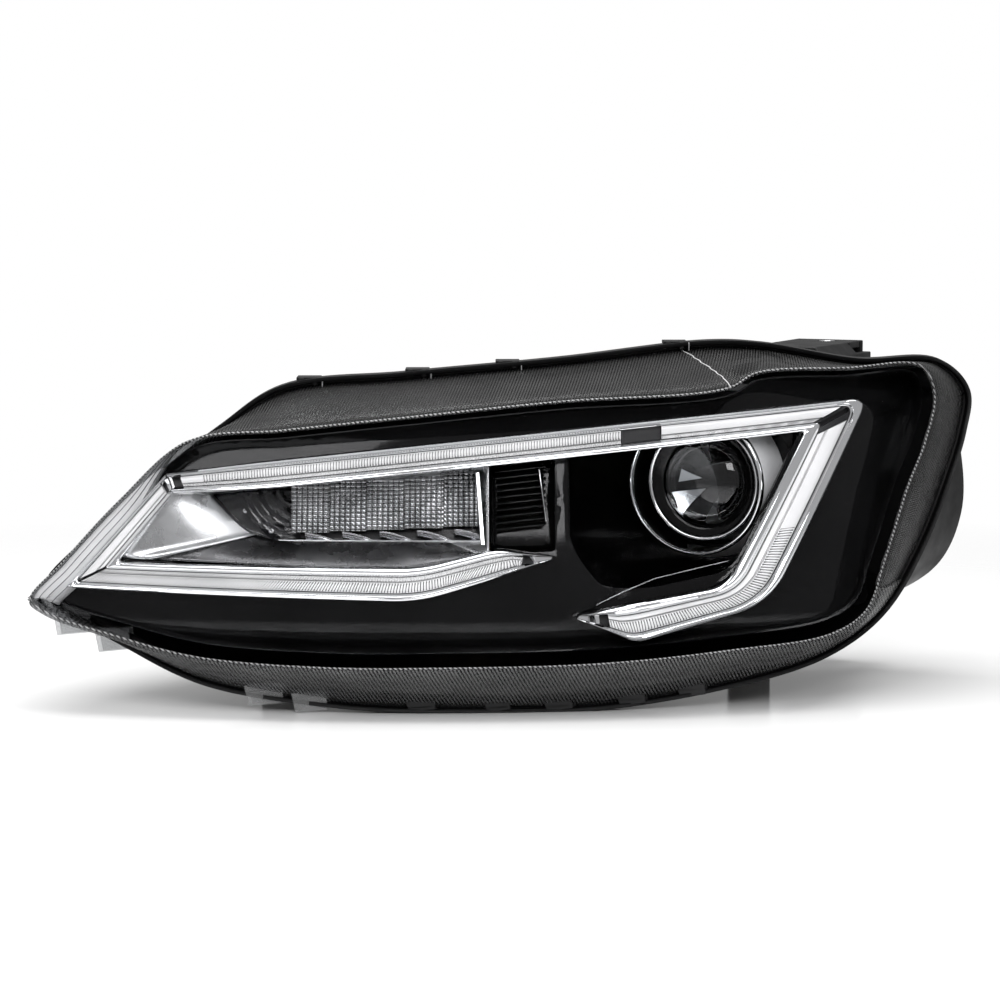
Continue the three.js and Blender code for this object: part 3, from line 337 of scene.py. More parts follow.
def clear(name, tint, haze, body, rough, rim_gloss, specular, flutes=None):
    """Clear plastic: transparent, with haze in patches and a gloss that grows towards its rim; flutes band its
    colour light and dark as painted shade in their valleys.
    """
    tree = shader_tree(name)
    if flutes:
        # painted shade: the flute bands darken the base colour in the valleys and lighten it on the crests, beside
        # the bump that gives their relief
        bands = stripes(tree, *flutes)
        relief = {"Base Color": ramp(tree, bands, *body, 0.15, 0.85), "Normal": bump(tree, bands, 0.8, 0.25)}
    else:
        relief = {"Base Color": ramp(tree, noise(tree, 14.0), *body)}
    gloss = node(tree, "BsdfPrincipled", {
        **relief, "Roughness": ramp(tree, noise(tree, 55.0), *rough), "Specular IOR Level": specular,
    })
    facing = node(tree, "LayerWeight", {"Blend": 0.5}).outputs["Facing"]
    power = node(tree, "Math", {0: facing, 1: 6.0}, operation="POWER").outputs[0]
    patches = ramp(tree, noise(tree, 22.0), *haze)
    share = node(tree, "Math", {0: power, 1: rim_gloss, 2: patches}, operation="MULTIPLY_ADD").outputs[0]
    passing = node(tree, "BsdfTransparent", {"Color": (*tint, 1)})
    node(tree, "OutputMaterial", {"Surface": mixed(tree, share, passing, gloss).outputs[0]})


def glass(name):
    """Solid optical glass that bends what is seen through it."""
    tree = shader_tree(name)
    body = node(tree, "BsdfPrincipled", {
        "Base Color": ramp(tree, noise(tree, 30.0), (0.9, 0.93, 0.95), (0.97, 0.98, 0.99)),
        "Roughness": ramp(tree, noise(tree, 80.0), 0.005, 0.02),
        "Transmission Weight": 1.0,
        "IOR": 1.52,
    })
    node(tree, "OutputMaterial", {"Surface": body.outputs[0]})


# clear plastics: tint, haze, body colour, roughness, gloss at the rim, specular level, flutes
clear("clear_lens", (0.98, 0.98, 0.985), (0.0, 0.0), (0.2, 0.3), (0.10, 0.16), 0.35, 0.25)
clear("fluted_clear", (0.9, 0.91, 0.92), (0.78, 0.9), (0.8, 0.92), (0.05, 0.14), 0.2, 0.9)
# lens_shelf and lens_chin band their body colour with their flutes: painted shade in the valleys
clear("lens_shelf", (0.6, 0.605, 0.61), (0.28, 0.36), (0.0, 0.13), (0.22, 0.35), 0.2, 0.4,
      (1.7, (0.9, 0.42, -0.5)))
clear("lens_chin", (0.6, 0.605, 0.61), (0.2, 0.3), (0.0, 0.36), (0.2, 0.3), 0.2, 0.5,
      (2.2, (0.9, 0.42, 0.5)))
clear("lens_edge", (0.95, 0.955, 0.96), (0.6, 0.72), (0.75, 0.9), (0.06, 0.16), 0.3, 0.8)
clear("lens_tab", (0.86, 0.865, 0.87), (0.22, 0.34), (0.4, 0.6), (0.06, 0.16), 0.5, 0.8)
# the next finish paints a dotted highlight along the lens crease
clear("lens_rope", (0.8, 0.81, 0.82), (0.5, 0.6), (0.01, 0.5), (0.1, 0.2), 0.2, 0.6,
      (2.4, (0.9, 0.42, 0.9)))
glass("optical_glass")

# metals: darkest and lightest colour, roughness, metallic
surface("chrome", (0.80, 0.81, 0.82), (0.88, 0.885, 0.89), (0.03, 0.09), 1.0, relief=0.003, grain=240.0)
# the next finish is a darkened copy of chrome: painted shade for chrome seen in shade, also used for thin painted
# lines
surface("chrome_shaded", (0.28, 0.28, 0.29), (0.4, 0.4, 0.41), (0.05, 0.12), 1.0, relief=0.004, grain=300.0)
# the two tray finishes below are lit and shaded copies of the tray's chrome: the lighter one is painted light for
# the side facet, the darker one painted shade for the floor facet
surface("tray_lit_satin", (0.34, 0.344, 0.35), (0.52, 0.525, 0.53), (0.22, 0.34), 1.0, relief=0.004, grain=500.0)
surface("tray_shaded", (0.07, 0.07, 0.072), (0.15, 0.15, 0.153), (0.22, 0.34), 1.0, relief=0.008, grain=900.0,
        cloud=26.0)
surface("aluminium", (0.46, 0.47, 0.48), (0.62, 0.63, 0.64), (0.3, 0.48), 1.0, relief=0.04, grain=800.0)
surface("steel", (0.42, 0.42, 0.43), (0.58, 0.58, 0.59), (0.22, 0.4), 1.0, relief=0.02, grain=900.0)
surface("brass", (0.58, 0.44, 0.2), (0.72, 0.57, 0.3), (0.2, 0.35), 1.0, relief=0.02)
surface("signal_clear", (0.16, 0.163, 0.166), (0.36, 0.364, 0.37), (0.05, 0.12), 0.9, 0.8, relief=0.004,
        cloud=60.0)

# plastics, rubber and board: darkest and lightest colour, roughness
# the next finish is painted shade, for dark slivers in the valleys between the guides' flutes
surface("flute_valley_shade", (0.05, 0.05, 0.051), (0.1, 0.1, 0.102), (0.12, 0.2), specular=0.6, relief=0.004)
# the next finish is a white diffuse stand-in for the sleeve's chrome flank: its whiteness is a painted reflection
surface("flank", (0.86, 0.865, 0.87), (0.93, 0.935, 0.94), (0.3, 0.4), specular=1.0, relief=0.004)
surface("signal_dark", (0.01, 0.01, 0.011), (0.02, 0.02, 0.022), (0.12, 0.25), specular=0.6, relief=0.01)
surface("gloss_black", (0.0016, 0.0016, 0.0017), (0.004, 0.004, 0.0042), (0.06, 0.12), specular=0.22,
        relief=0.002, grain=200.0)
surface("satin_black", (0.007, 0.007, 0.0075), (0.014, 0.014, 0.015), (0.38, 0.55), specular=0.35,
        relief=0.03, grain=1400.0)
surface("housing_black", (0.003, 0.003, 0.0033), (0.0075, 0.0075, 0.008), (0.45, 0.65), specular=0.22,
        relief=0.05, grain=1100.0)
surface("rubber", (0.010, 0.010, 0.010), (0.022, 0.022, 0.022), (0.7, 0.88), relief=0.06, grain=1300.0)
surface("circuit_board", (0.02, 0.06, 0.035), (0.035, 0.1, 0.055), (0.25, 0.45), relief=0.05, grain=700.0)


# ------------------------------------------------------------------ mesh building


def finished(name, mesh, finish, sharp=35.0):
    """Object made of a mesh, in one finish, shaded smooth up to a sharp angle."""
    mesh.polygons.foreach_set("use_smooth", [True] * len(mesh.polygons))
    mesh.set_sharp_from_angle(angle=math.radians(sharp))
    mesh.materials.append(FINISH[finish])
    obj = bpy.data.objects.new(name, mesh)
    bpy.context.scene.collection.objects.link(obj)
    return obj


def soften(obj, millimetres, segments=2, angle=40.0):
    bevel = obj.modifiers.new("bevel", "BEVEL")
    bevel.width = millimetres * MM
    bevel.segments = segments
    bevel.limit_method = "ANGLE"
    bevel.angle_limit = math.radians(angle)


def settle(obj, body, nodes):
    """Attaches a piece to its body and hides the CAD nodes it stands for."""
    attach(obj, body)
    if nodes:
        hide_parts(*nodes)


def add(name, shape, finish, slot, *nodes, body="lamp", sharp=35.0, wall=0.0, edge=0.0, segments=2):
    """Visible piece. A wall thickens an open skin towards one side, an edge rounds its corners."""
    mesh = bpy.data.meshes.new(name)
    mesh.from_pydata([tuple(v) for v in shape[0]], [], shape[1])
    work = bmesh.new()
    work.from_mesh(mesh)
    bmesh.ops.recalc_face_normals(work, faces=work.faces)
    work.to_mesh(mesh)
    work.free()
    obj = finished(name, mesh, finish, sharp)
    if wall:
        solidify = obj.modifiers.new("solidify", "SOLIDIFY")
        solidify.thickness = abs(wall) * MM
        solidify.offset = math.copysign(1, wall)
        solidify.use_even_offset = False
    if edge:
        soften(obj, edge, segments)
    settle(obj, body, nodes)


def loft(rings, caps=True, closed=False, around=True):
    """Skin over rings of equal length: capped at its ends, closed on itself, or open."""
    size = len(rings[0])
    vertices = [point for ring in rings for point in ring]
    faces = []
    for r in range(len(rings) if closed else len(rings) - 1):
        for i in range(size if around else size - 1):
            a, b = r * size + i, r * size + (i + 1) % size
            shift = ((r + 1) % len(rings) - r) * size
            faces.append((a, b, b + shift, a + shift))
    if caps:
        faces.append(tuple(range(size - 1, -1, -1)))
        faces.append(tuple(range((len(rings) - 1) * size, len(rings) * size)))
    return vertices, faces


def joined(*parts):
    vertices, faces = [], []
    for more, polygons in parts:
        start = len(vertices)
        vertices += more
        faces += [tuple(start + i for i in polygon) for polygon in polygons]
    return vertices, faces


def ribbon(rows, section, step=3.0):
    """Band between two rails with a cross-section of (share across, offset), closed at its ends."""
    rings = []
    travelled = 0.0
    previous = None
    for outer, inner in rails(rows, step):
        middle = (outer + inner) / 2
        travelled += (middle - previous).length if previous else 0.0
        previous = middle
        width = (outer - inner).length
        profile = section(travelled, width, middle.x)
        rings.append([lift(outer.lerp(inner, t), offset) for t, offset in profile])
    return loft(rings)


def rim(column, depth, section, count=10):
    """Closed band round the perimeter; section is (distance outwards, depth behind the loop)."""
    base = perimeter(column, 0, count)
    rings = []
    for distance, offset in section:
        loop = grown(base, distance)
        rings.append([face(p.x, depth(q.x, q.y) + offset, p.y) for p, q in zip(loop, base)])
    return loft(rings, caps=False, closed=True)


def sheet(loop, holes, offset, spacing=5.0):
    """Open curved sheet inside an outline, at an offset behind the lens for each point."""
    coords, edges = [], []
    for outline in (loop, *holes):
        start = len(coords)
        coords += outline
        edges += [(start + i, start + (i + 1) % len(outline)) for i in range(len(outline))]
    low = [min(p[k] for p in loop) for k in (0, 1)]
    high = [max(p[k] for p in loop) for k in (0, 1)]
    columns = int((high[0] - low[0]) / spacing)
    rows = int((high[1] - low[1]) / spacing)
    for i in range(1, columns + 1):
        for j in range(1, rows + 1):
            point = Vector((low[0] + i * spacing, low[1] + (j + 0.5 * (i % 2)) * spacing))
            if inside(point, loop) and not any(inside(point, hole) for hole in holes):
                coords.append(point)
    points, _, triangles, *_ = delaunay_2d_cdt(coords, edges, [], 0, 1e-5)
    kept = []
    for triangle in triangles:
        centre = sum((points[i] for i in triangle), Vector((0, 0))) / len(triangle)
        if inside(centre, loop) and not any(inside(centre, hole) for hole in holes):
            kept.append(tuple(triangle))
    return [lift(p, offset(p.x, p.y)) for p in points], kept


def turns(count, lean=0.0):
    """Angles evenly round a circle, shifted by a share of one step."""
    return [2 * math.pi * (k + lean) / count for k in range(count)]


def around_axis(radius, y, angle, x=AXIS_X, z=AXIS_Z):
    """Point round a line along Y, which is the projector's axis unless another is given."""
    return car(x + radius * math.cos(angle), y, z + radius * math.sin(angle))


def lathe(profile, sides=96, x=AXIS_X, z=AXIS_Z):
    """Body turned about an axis along Y from (radius, y) points."""
    rings = [[around_axis(radius, y, a, x, z) for a in turns(sides)] for radius, y in profile]
    return loft(rings, caps=False, closed=True)


def bead_ring(point, side, depth, radius, count=8):
    """One ring of a round bead that lies along the face at a depth behind the lens."""
    return [lift(point + side * radius * math.cos(a), depth + radius * math.sin(a)) for a in turns(count)]


def prism(corners, near, far):
    """Straight body between two depths behind the lens surface."""
    return loft([[lift(p, depth) for p in corners] for depth in (near, far)])


def slab(corners, w0, w1):
    """Straight body with an outline in (u, z) between two depths."""
    return loft([[face(p[0], w, p[1]) for p in corners] for w in (w0, w1)])


def block(x0, x1, y0, y1, z0, z1, place=car):
    corners = [(x0, z0), (x1, z0), (x1, z1), (x0, z1)]
    return loft([[place(x, y, z) for x, z in corners] for y in (y0, y1)])


# ------------------------------------------------------------------ camera

CAMERA_RISE = math.radians(6)
CAMERA_AWAY = 2.2
CAMERA_LENS = 123.75


def camera():
    """Long lens square to the lamp's swept face, and a little above it."""
    level = math.cos(CAMERA_RISE)
    direction = Vector((math.sin(SWEEP) * level, -math.cos(SWEEP) * level, math.sin(CAMERA_RISE)))
    data = bpy.data.cameras.new("camera")
    data.lens = CAMERA_LENS
    data.sensor_width = 36
    obj = bpy.data.objects.new("camera", data)
    obj.location = car(0, 0, AXIS_Z) + direction * CAMERA_AWAY
    obj.rotation_euler = (-direction).to_track_quat("-Z", "Y").to_euler()
    bpy.context.scene.collection.objects.link(obj)
    bpy.context.scene.camera = obj


# ------------------------------------------------------------------ outer lens


def outer_lens():
    """Clear front skin inside the crease."""
    skin = sheet(perimeter(0, 0, 12), [], lambda u, z: 0.0, 6.0)
    add("lens_face", skin, "clear_lens", "clear_lens", "outer_lens", sharp=60, wall=-2.5)


def wall_point(crease, foot, v, rise=0.0):
    """Place on the lens wall, v of the way from the crease back to the foot."""
    start = lens_depth(crease.x, crease.y) + 0.8
    end = foot_depth(foot.x, foot.y)
    outwards = (foot - crease).normalized() if (foot - crease).length > 1 else Vector((0, 0))
    p = crease.lerp(foot, v) + outwards * 0.55 * math.sin(math.pi * v)
    return face(p.x, start + (end - start) * v ** 1.15 + rise, p.y + rise)


def top_index(loop, u):
    """Number of the upper point of a loop that is nearest to a place across the face."""
    return min(range(len(loop)), key=lambda i: abs(loop[i].x - u) + 1000 * (loop[i].y < 150))


def lens_wall():
    """Fluted wall of the lens, from the crease back to the foot, with a roped crease whose brightness is a painted
    highlight.
    """
    count, steps, ripple = 60, 7, 0.22
    crease, foot = perimeter(0, 0, count), perimeter(2, 0, count)
    rings = []
    for j in range(steps + 1):
        v = j / steps
        height = ripple * smooth(v, 0.02, 0.12)
        half_way = j > steps // 2
        rings.append([wall_point(a, b, v, height if (i + half_way) % 2 else -height)
                      for i, (a, b) in enumerate(zip(crease, foot))])
    split = 9 * count + count // 2
    for name, first, last in (("lens_chin", 0, split), ("lens_shelf", split, len(crease))):
        part = [[ring[i % len(ring)] for i in range(first, last + 1)] for ring in rings]
        add(name, loft(part, caps=False, around=False), name, "clear_lens", sharp=20, wall=-2.0)
    # painted highlight: the rope along the crease is bright in its colour
    rope = rim(0, lens_depth, [(0.2, 0.5), (-0.35, 0.1), (-0.9, 0.5), (-0.9, 1.2), (0.2, 1.2)], 16)
    add("lens_crease", rope, "lens_rope", "clear_lens", sharp=60)
    start, stop = top_index(crease, 152), top_index(foot, 122)
    rings = []
    for v in (k / 24 for k in range(25)):
        i = round(start + (stop - start) * v)
        middle = wall_point(crease[i], foot[i], v, 0.2)
        rings.append([middle + Vector((math.cos(a), 0, math.sin(a))) * 0.35 * MM for a in turns(8)])
    add("lens_mould_line", loft(rings), "lens_edge", "clear_lens", sharp=60)


def edge_reveal(t):
    """Width of the clear band beside the bezel; t runs from the upper corner to the inboard tip."""
    return 1.5 + 15.5 * smooth(t, 0.0, 0.42)


def inboard_edge():
    """(Point, inward direction, width of the clear band) from the lens's upper corner to its tip."""
    edge = spline([Vector(row[0:2]) for row in STATIONS], 12)
    inner = grown(edge, -10)
    picks = [*range(21 * 12, len(edge)), 0]
    return [(edge[i], (inner[i] - edge[i]) / 10, edge_reveal(k / (len(picks) - 1)))
            for k, i in enumerate(picks)]


def step_lines():
    """Clear stepped band along the inboard edge, between the lens and the bezel."""
    track = inboard_edge()
    overlap = 1.0
    steps = [(0.06, 3.0), (0.30, 6.0), (0.33, 7.2), (0.52, 9.5), (0.55, 11.0), (0.76, 14.0), (0.79, 15.4),
             (1.02, 20.5)]
    rings = [[lift(p + inwards * (reveal + overlap) * share, depth) for share, depth in steps]
             for p, inwards, reveal in track]
    band = loft(rings, caps=False, around=False)
    add("lens_edge_band", band, "lens_edge", "clear_lens", sharp=20, wall=1.0)
    # painted lines: beads of darkened chrome at the edges of the clear steps paint their reflections
    parts = []
    for share, depth, radius in ((0.315, 6.2, 0.35), (0.535, 9.8, 0.45), (0.775, 14.2, 0.35)):
        parts.append(loft([
            bead_ring(p + inwards * (reveal + overlap) * share, Vector((1, 0)), depth, radius)
            for p, inwards, reveal in track]))
    add("lens_step_lines", joined(*parts), "chrome_shaded", "clear_lens", sharp=60)


def lens_tabs():
    """Clear and dark locating tabs under the lens flange, as (u, half width, drop)."""
    bright = [(-285, 13, 20), (-257, 12, 16), (-155, 13, 14), (-125, 12, 13)]
    dark = [(-52, 10, 7), (-2, 9, 7), (38, 10, 7), (86, 10, 8), (126, 10, 9)]
    for name, places, finish, slot in (("clear", bright, "lens_tab", "clear_lens"),
                                       ("dark", dark, "satin_black", "satin_black")):
        parts = []
        for u, half, drop in places:
            z = foot_height(u)
            w = foot_depth(u, z) - 9
            for depth, lean in ((w, 0), (w + 7, 2)):
                outline = [(u - half + lean, z + 3), (u - half + 3 + lean, z + 3 - drop),
                           (u + half + lean, z + 5 - drop), (u + half - 1 + lean, z + 3)]
                parts.append(slab(outline, depth, depth + 1.8))
            parts.append(slab([(u - half + 2, z - 2), (u + half - 2, z - 1), (u + half - 2, z + 0.6),
                               (u - half + 2, z - 0.4)], w, w + 8.8))
        add(f"lens_tabs_{name}", joined(*parts), finish, slot, edge=0.4)


def foot_height(u):
    """Height of the lower edge of the lens foot at a place across the face."""
    lower = [(row[2], row[3]) for row in STATIONS[:10]]
    for (u0, z0), (u1, z1) in zip(lower, lower[1:]):
        if u0 <= u <= u1:
            return z0 + (z1 - z0) * (u - u0) / (u1 - u0)
    return lower[0][1]


# ------------------------------------------------------------------ bezel


# openings of the bezel as (u, z, cut-back), and the line of a painted highlight along the crease beside the deeper
# one
ARROW_HOLE = [
    (-215, 147, 2), (-251, 101.5, 3), (-60, 96.5, 5), (-2, 106.5, 4), (36, 107.5, 3),
    (36, 169.5, 3), (-52, 161.5, 40), (-157, 150.5, 20),
]
WELL_HOLE = [(44, 171, 5), (44, 112, 18), (66, 84, 6), (96, 82, 10), (152, 92, 12), (201, 184, 4)]
WELL_CREASE_HIGHLIGHT = [(63, 72.5), (80, 80.5), (101, 88.5), (128, 94.2), (150, 98.5)]


def bezel_offset(u, z):
    """Bezel surface: a cheek that rolls back outboard, and a shallow dish round the hook."""
    cheek = 16 * smooth(u, 196, 285) ** 1.5 + 9 * smooth(z, 186, 226) * smooth(u, 160, 230)
    shelf = 3.0 * smooth(z, 178, 200) * (1 - smooth(u, 150, 200))
    chin = 10 * smooth(-z, -62, -34)
    fold = 2.2 * smooth(0.42 * (u - 60) + 72 - z, -1.5, 1.5) * (1 - smooth(u, 150, 165)) * smooth(u, 40, 60)
    return BEZEL_FRONT + cheek + shelf + chin + fold


def bezel_outline():
    """Inset perimeter, cut back further along the inboard edge where the lens shows its steps."""
    limit = [(p + inwards * reveal, inwards.normalized()) for p, inwards, reveal in inboard_edge()]
    lowest = limit[-1][0].y - 4
    trimmed = []
    for p in clean_inset(perimeter(0, 0, 8), BEZEL_INSET):
        if p.x < -190 and p.y > lowest:
            edge, away = min(limit, key=lambda pair: (pair[0] - p).length)
            p = p + away * max((edge - p).dot(away), 0)
        trimmed.append(p)
    return trimmed


def bezel():
    """Gloss-black mask with its two openings, the skirt round its edge, and a bead that paints a highlight along
    the crease.
    """
    mask = sheet(bezel_outline(), [rounded(ARROW_HOLE), rounded(WELL_HOLE)], bezel_offset, 4.5)
    add("bezel_face", mask, "gloss_black", "gloss_black", "bezel_mask", sharp=25, wall=-2.5, edge=0.5)
    skirt = rim(0, lens_depth, [(-6.4, 21), (-7.4, 19.8), (-8.6, 21), (-14, 44), (-12.4, 44)])
    add("bezel_skirt", skirt, "gloss_black", "gloss_black", sharp=60)
    # painted highlight: thin beads of darkened chrome along the crease beside the projector well
    parts = []
    for p, q in zip(WELL_CREASE_HIGHLIGHT, WELL_CREASE_HIGHLIGHT[1:]):
        along = (Vector(q) - Vector(p)).normalized()
        side = Vector((-along.y, along.x))
        parts.append(loft([bead_ring(end, side, bezel_offset(end.x, end.y) - 0.3, 0.32)
                           for end in (Vector(p) - along * 0.2, Vector(q) + along * 0.2)]))
    add("bezel_crease_highlight", joined(*parts), "chrome_shaded", "gloss_black", sharp=60)


def toward(centre, outline, angle):
    """Where a ray from the centre meets a closed outline."""
    ray = Vector((math.cos(angle), math.sin(angle)))
    best = 0.0
    for i, a in enumerate(outline):
        span = outline[(i + 1) % len(outline)] - a
        cross = ray.x * span.y - ray.y * span.x
        if abs(cross) < 1e-9:
            continue
        away = a - centre
        along = (away.x * span.y - away.y * span.x) / cross
        share = (away.x * ray.y - away.y * ray.x) / cross
        if -1e-6 <= share <= 1 + 1e-6:
            best = max(best, along)
    return centre + ray * best


def plane_depth(y, u):
    return (y - u * math.sin(SWEEP)) / math.cos(SWEEP)


def projector_well():
    """Gloss-black pocket from the bezel down to the foot of the sleeve."""
    mouth = rounded(WELL_HOLE)
    chamber = rounded([(46, 181, 4), (46, 100, 14), (78, 76, 12), (161, 82.5, 12), (198, 129, 8),
                       (198, 195, 5), (63, 192.5, 4)])
    centre = Vector((142, 142))
    columns = []
    for angle in turns(160):
        lip, wall = toward(centre, mouth, angle), toward(centre, chamber, angle)
        floor = centre + (wall - centre) * 0.965
        columns.append([
            lift(lip, bezel_offset(lip.x, lip.y) + 2.3),
            lift(lip.lerp(wall, 0.8), BEZEL_FRONT + 9),
            face(wall.x, plane_depth(WELL_FLOOR_Y - 6, wall.x), wall.y),
            face(floor.x, plane_depth(WELL_FLOOR_Y, floor.x), floor.y),
            around_axis(SLEEVE_RADIUS + 4, WELL_FLOOR_Y, angle),
            around_axis(SLEEVE_RADIUS + 0.5, WELL_FLOOR_Y, angle),
        ])
    pocket = loft(list(zip(*columns)), caps=False)
    add("well_pocket", pocket, "gloss_black", "gloss_black", "projector_well", sharp=50, wall=1.8)


# ------------------------------------------------------------------ chrome bands and light guides


def groove_floor(width):
    """Depth of the groove: it closes where the band is narrow."""
    return 13.0 + 6.5 * smooth(width, 6, 10)


def band_section(travelled, width, u):
    """Two rounded lips with a groove between them."""
    floor = groove_floor(width)
    a, b = GROOVE
    return [
        (0, TRIM_BACK), (0, 13.6), (0.025, 12.6), (0.07, 12.0), (0.12, 12.2), (0.16, 13.0),
        (0.185, 14.4), (a, 14.8), (a + 0.005, floor), (b - 0.005, floor), (b, 15.2),
        (b + 0.03, 14.6), (b + 0.07, 13.0), (b + 0.13, 12.2), (b + 0.18, 12.2), (0.965, 12.9),
        (1, 14.2), (1, TRIM_BACK),
    ]


def channel_section(travelled, width, u):
    """Dark lining of the groove."""
    floor = groove_floor(width)
    a, b = GROOVE[0] + 0.008, GROOVE[1] - 0.008
    return [(a, floor - 0.1), (a, 15.4), (a + 0.012, 15.4), (a + 0.02, floor - 0.6), (b - 0.02, floor - 0.6),
            (b - 0.012, 15.8), (b, 15.8), (b, floor - 0.1)]


def stop_section(travelled, width, u):
    """Dark block between two light guides."""
    a, b = GROOVE[0] + 0.015, GROOVE[1] - 0.015
    return [(a, 19.2), (a, 15.6), (a + 0.04, 15.0), (b - 0.04, 15.0), (b, 15.6), (b, 19.2)]


def guide_section(fluted, lower_row=True):
    """Light guide: a domed upper row with upright flutes, a dark gap, and a fine lower row."""
    a, b = GROOVE[0] + 0.03, GROOVE[1] - 0.03

    def section(travelled, width, u):
        dip = 1 - abs(math.sin(math.pi * travelled / FLUTE_PITCH))
        flute = 1.5 * dip ** 2 if fluted(u) else 0.0
        small = 1.6 * (1 - dip) ** 2 if lower_row else 0.3
        front = 12.4
        return [
            (a, 19.2), (a, front + 2.0), (a + 0.025, front + 0.4 + flute), (a + 0.10, front - 0.3 + flute),
            (a + 0.22, front - 0.2 + flute), (a + 0.30, front + 0.6 + flute), (a + 0.32, front + 4.6),
            (a + 0.345, front + 4.6), (a + 0.36, front + 1.4 + small), (b - 0.03, front + 1.8 + small),
            (b, front + 3.0), (b, 19.2),
        ]
    return section


def painted_flute_shade(rows, fluted, step):
    """Painted shade: dark slivers in the valleys between the flutes of a guide."""
    start, stop = GROOVE[0] + 0.055, GROOVE[0] + 0.325
    parts = []
    travelled, count = 0.0, 0
    previous = None
    for outer, inner in rails(rows, step):
        middle = (outer + inner) / 2
        if previous:
            travelled += (middle - previous).length
            if int(travelled / FLUTE_PITCH) > count and fluted(middle.x):
                along = (middle - previous).normalized() * 0.24
                a, b = outer.lerp(inner, start), outer.lerp(inner, stop)
                parts.append(prism([a - along, a + along, b + along, b - along], 12.75, 14.2))
            count = int(travelled / FLUTE_PITCH)
        previous = middle
    return joined(*parts)


# each guide: name, part of its band, where it is fluted, fine lower row, CAD node
GUIDES = [
    ("guide_upper_fluted", stretch(UPPER_BAND, 0.14, 2.83), lambda u: u > -194, True, "light_guide_upper"),
    ("guide_upper_plain", stretch(UPPER_BAND, 3.0, 3.93), None, True, None),
    ("guide_hook", stretch(UPPER_BAND, 4.08, 6.42), lambda u: u < 186, False, "light_guide_hook"),
    ("guide_left", stretch(LOWER_BAND, 0.06, 0.97), None, False, "light_guide_left"),
    ("guide_lower", stretch(LOWER_BAND, 1.01, 3.5), lambda u: True, True, "light_guide_lower"),
]


def light_bands():
    """Chrome bands, the dark lining of their grooves, and the clear guides in them."""
    for name, rows in (("upper_trim", UPPER_BAND), ("lower_trim", LOWER_BAND)):
        add(f"{name}_chrome", ribbon(rows, band_section, 1.6), "chrome", "chrome", name, sharp=32)
    for name, rows in (("upper_channel", stretch(UPPER_BAND, 0.03, 6.6)),
                       ("lower_channel", stretch(LOWER_BAND, 0.03, 3.7))):
        add(name, ribbon(rows, channel_section, 2.0), "satin_black", "satin_black")
    for name, rows, fluted, lower_row, node_name in GUIDES:
        step = FLUTE_PITCH / 6 if fluted else 1.2
        # painted shade in the flute valleys
        if fluted:
            add(f"{name}_shade_slivers", painted_flute_shade(rows, fluted, step), "flute_valley_shade", "fluted_clear", sharp=40)
        guide = ribbon(rows, guide_section(fluted or (lambda u: False), lower_row), step)
        nodes = [node_name] if node_name else []
        add(name, guide, "fluted_clear", "fluted_clear", *nodes, sharp=70)
    for name, start, stop in (("upper", 2.835, 2.995), ("corner", 3.94, 3.985), ("hook", 4.03, 4.07)):
        part = ribbon(stretch(UPPER_BAND, start, stop), stop_section, 2.0)
        add(f"guide_stop_{name}", part, "satin_black", "satin_black")


# ------------------------------------------------------------------ reflector tray and turn signal


SIGNAL_WINDOW = [
    (-193, 142.5, 3), (-181, 130, 10), (-166, 116.5, 9), (-146, 111.5, 6), (-11, 111, 2), (-15, 158, 2),
    (-131, 149.5, 20),
]
OPTIC_START = -137
OPTIC_COLUMN = 24.8


def reflector_tray():
    """Chrome panel round the signal window: a light inboard facet and a dark floor facet, in lit and shaded copies
    of one metal, which are painted light and painted shade.
    """
    outline = rounded([*ARROW_HOLE[:3], (-7, 106, 2), (-7, 165.5, 2), *ARROW_HOLE[6:]])
    window = rounded(SIGNAL_WINDOW)
    centre = Vector((-95, 130))
    levels = 10
    columns, window_line = [], []
    for angle in turns(320):
        outer, inner = toward(centre, outline, angle), toward(centre, window, angle)
        fall = min((outer - inner).length / 45, 1)
        ring = []
        for t in (j / levels for j in range(levels + 1)):
            dish = 20.2 + 17 * (t ** (1 + 0.5 * fall)) + 0.8 * fall * math.sin(math.pi * t)
            ring.append(lift(outer.lerp(inner, t), dish))
        ring.append(lift(inner.lerp(centre, 0.006), 38.1))
        ring.append(lift(inner.lerp(centre, 0.012), SIGNAL_DEPTH + 4))
        columns.append((angle, ring))
        window_line.append(inner)
    corners = ((-240, 99.5), (-9, 105))
    start, stop = (math.atan2(z - centre.y, u - centre.x) % (2 * math.pi) for u, z in corners)
    dark = [ring for angle, ring in columns if start <= angle <= stop]
    after = [ring for angle, ring in columns if angle >= stop]
    before = [ring for angle, ring in columns if angle <= start]
    light = [dark[-1], *after, *before, dark[0]]
    # painted shade on the floor facet, painted light on the side facet
    for name, rings, finish, nodes in (("tray_floor_shaded", dark, "tray_shaded", ["reflector_tray"]),
                                       ("tray_side_lit", light, "tray_lit_satin", [])):
        add(name, loft(rings, caps=False, around=False), finish, "chrome", *nodes, sharp=40, wall=1.0)
    rings = []
    for i, p in enumerate(window_line):
        ahead = window_line[(i + 1) % len(window_line)] - window_line[i - 1]
        side = Vector((-ahead.y, ahead.x)).normalized() if ahead.length else Vector((0, 1))
        rings.append(bead_ring(p, side, 36.9, 0.55, 6))
    add("tray_window_line", loft(rings, caps=False, closed=True), "chrome", "chrome", sharp=60)


def pillow_height(u, z, column):
    """Relief of the signal lens: rows of small pillows in five stepped columns."""
    wide, high = 3.5, 2.7
    across = ((u - OPTIC_START - column * OPTIC_COLUMN) % wide) / wide - 0.5
    up = ((z - column * 0.9) % high) / high - 0.5
    return 1.7 * (1 - 2.4 * (across * across + up * up))


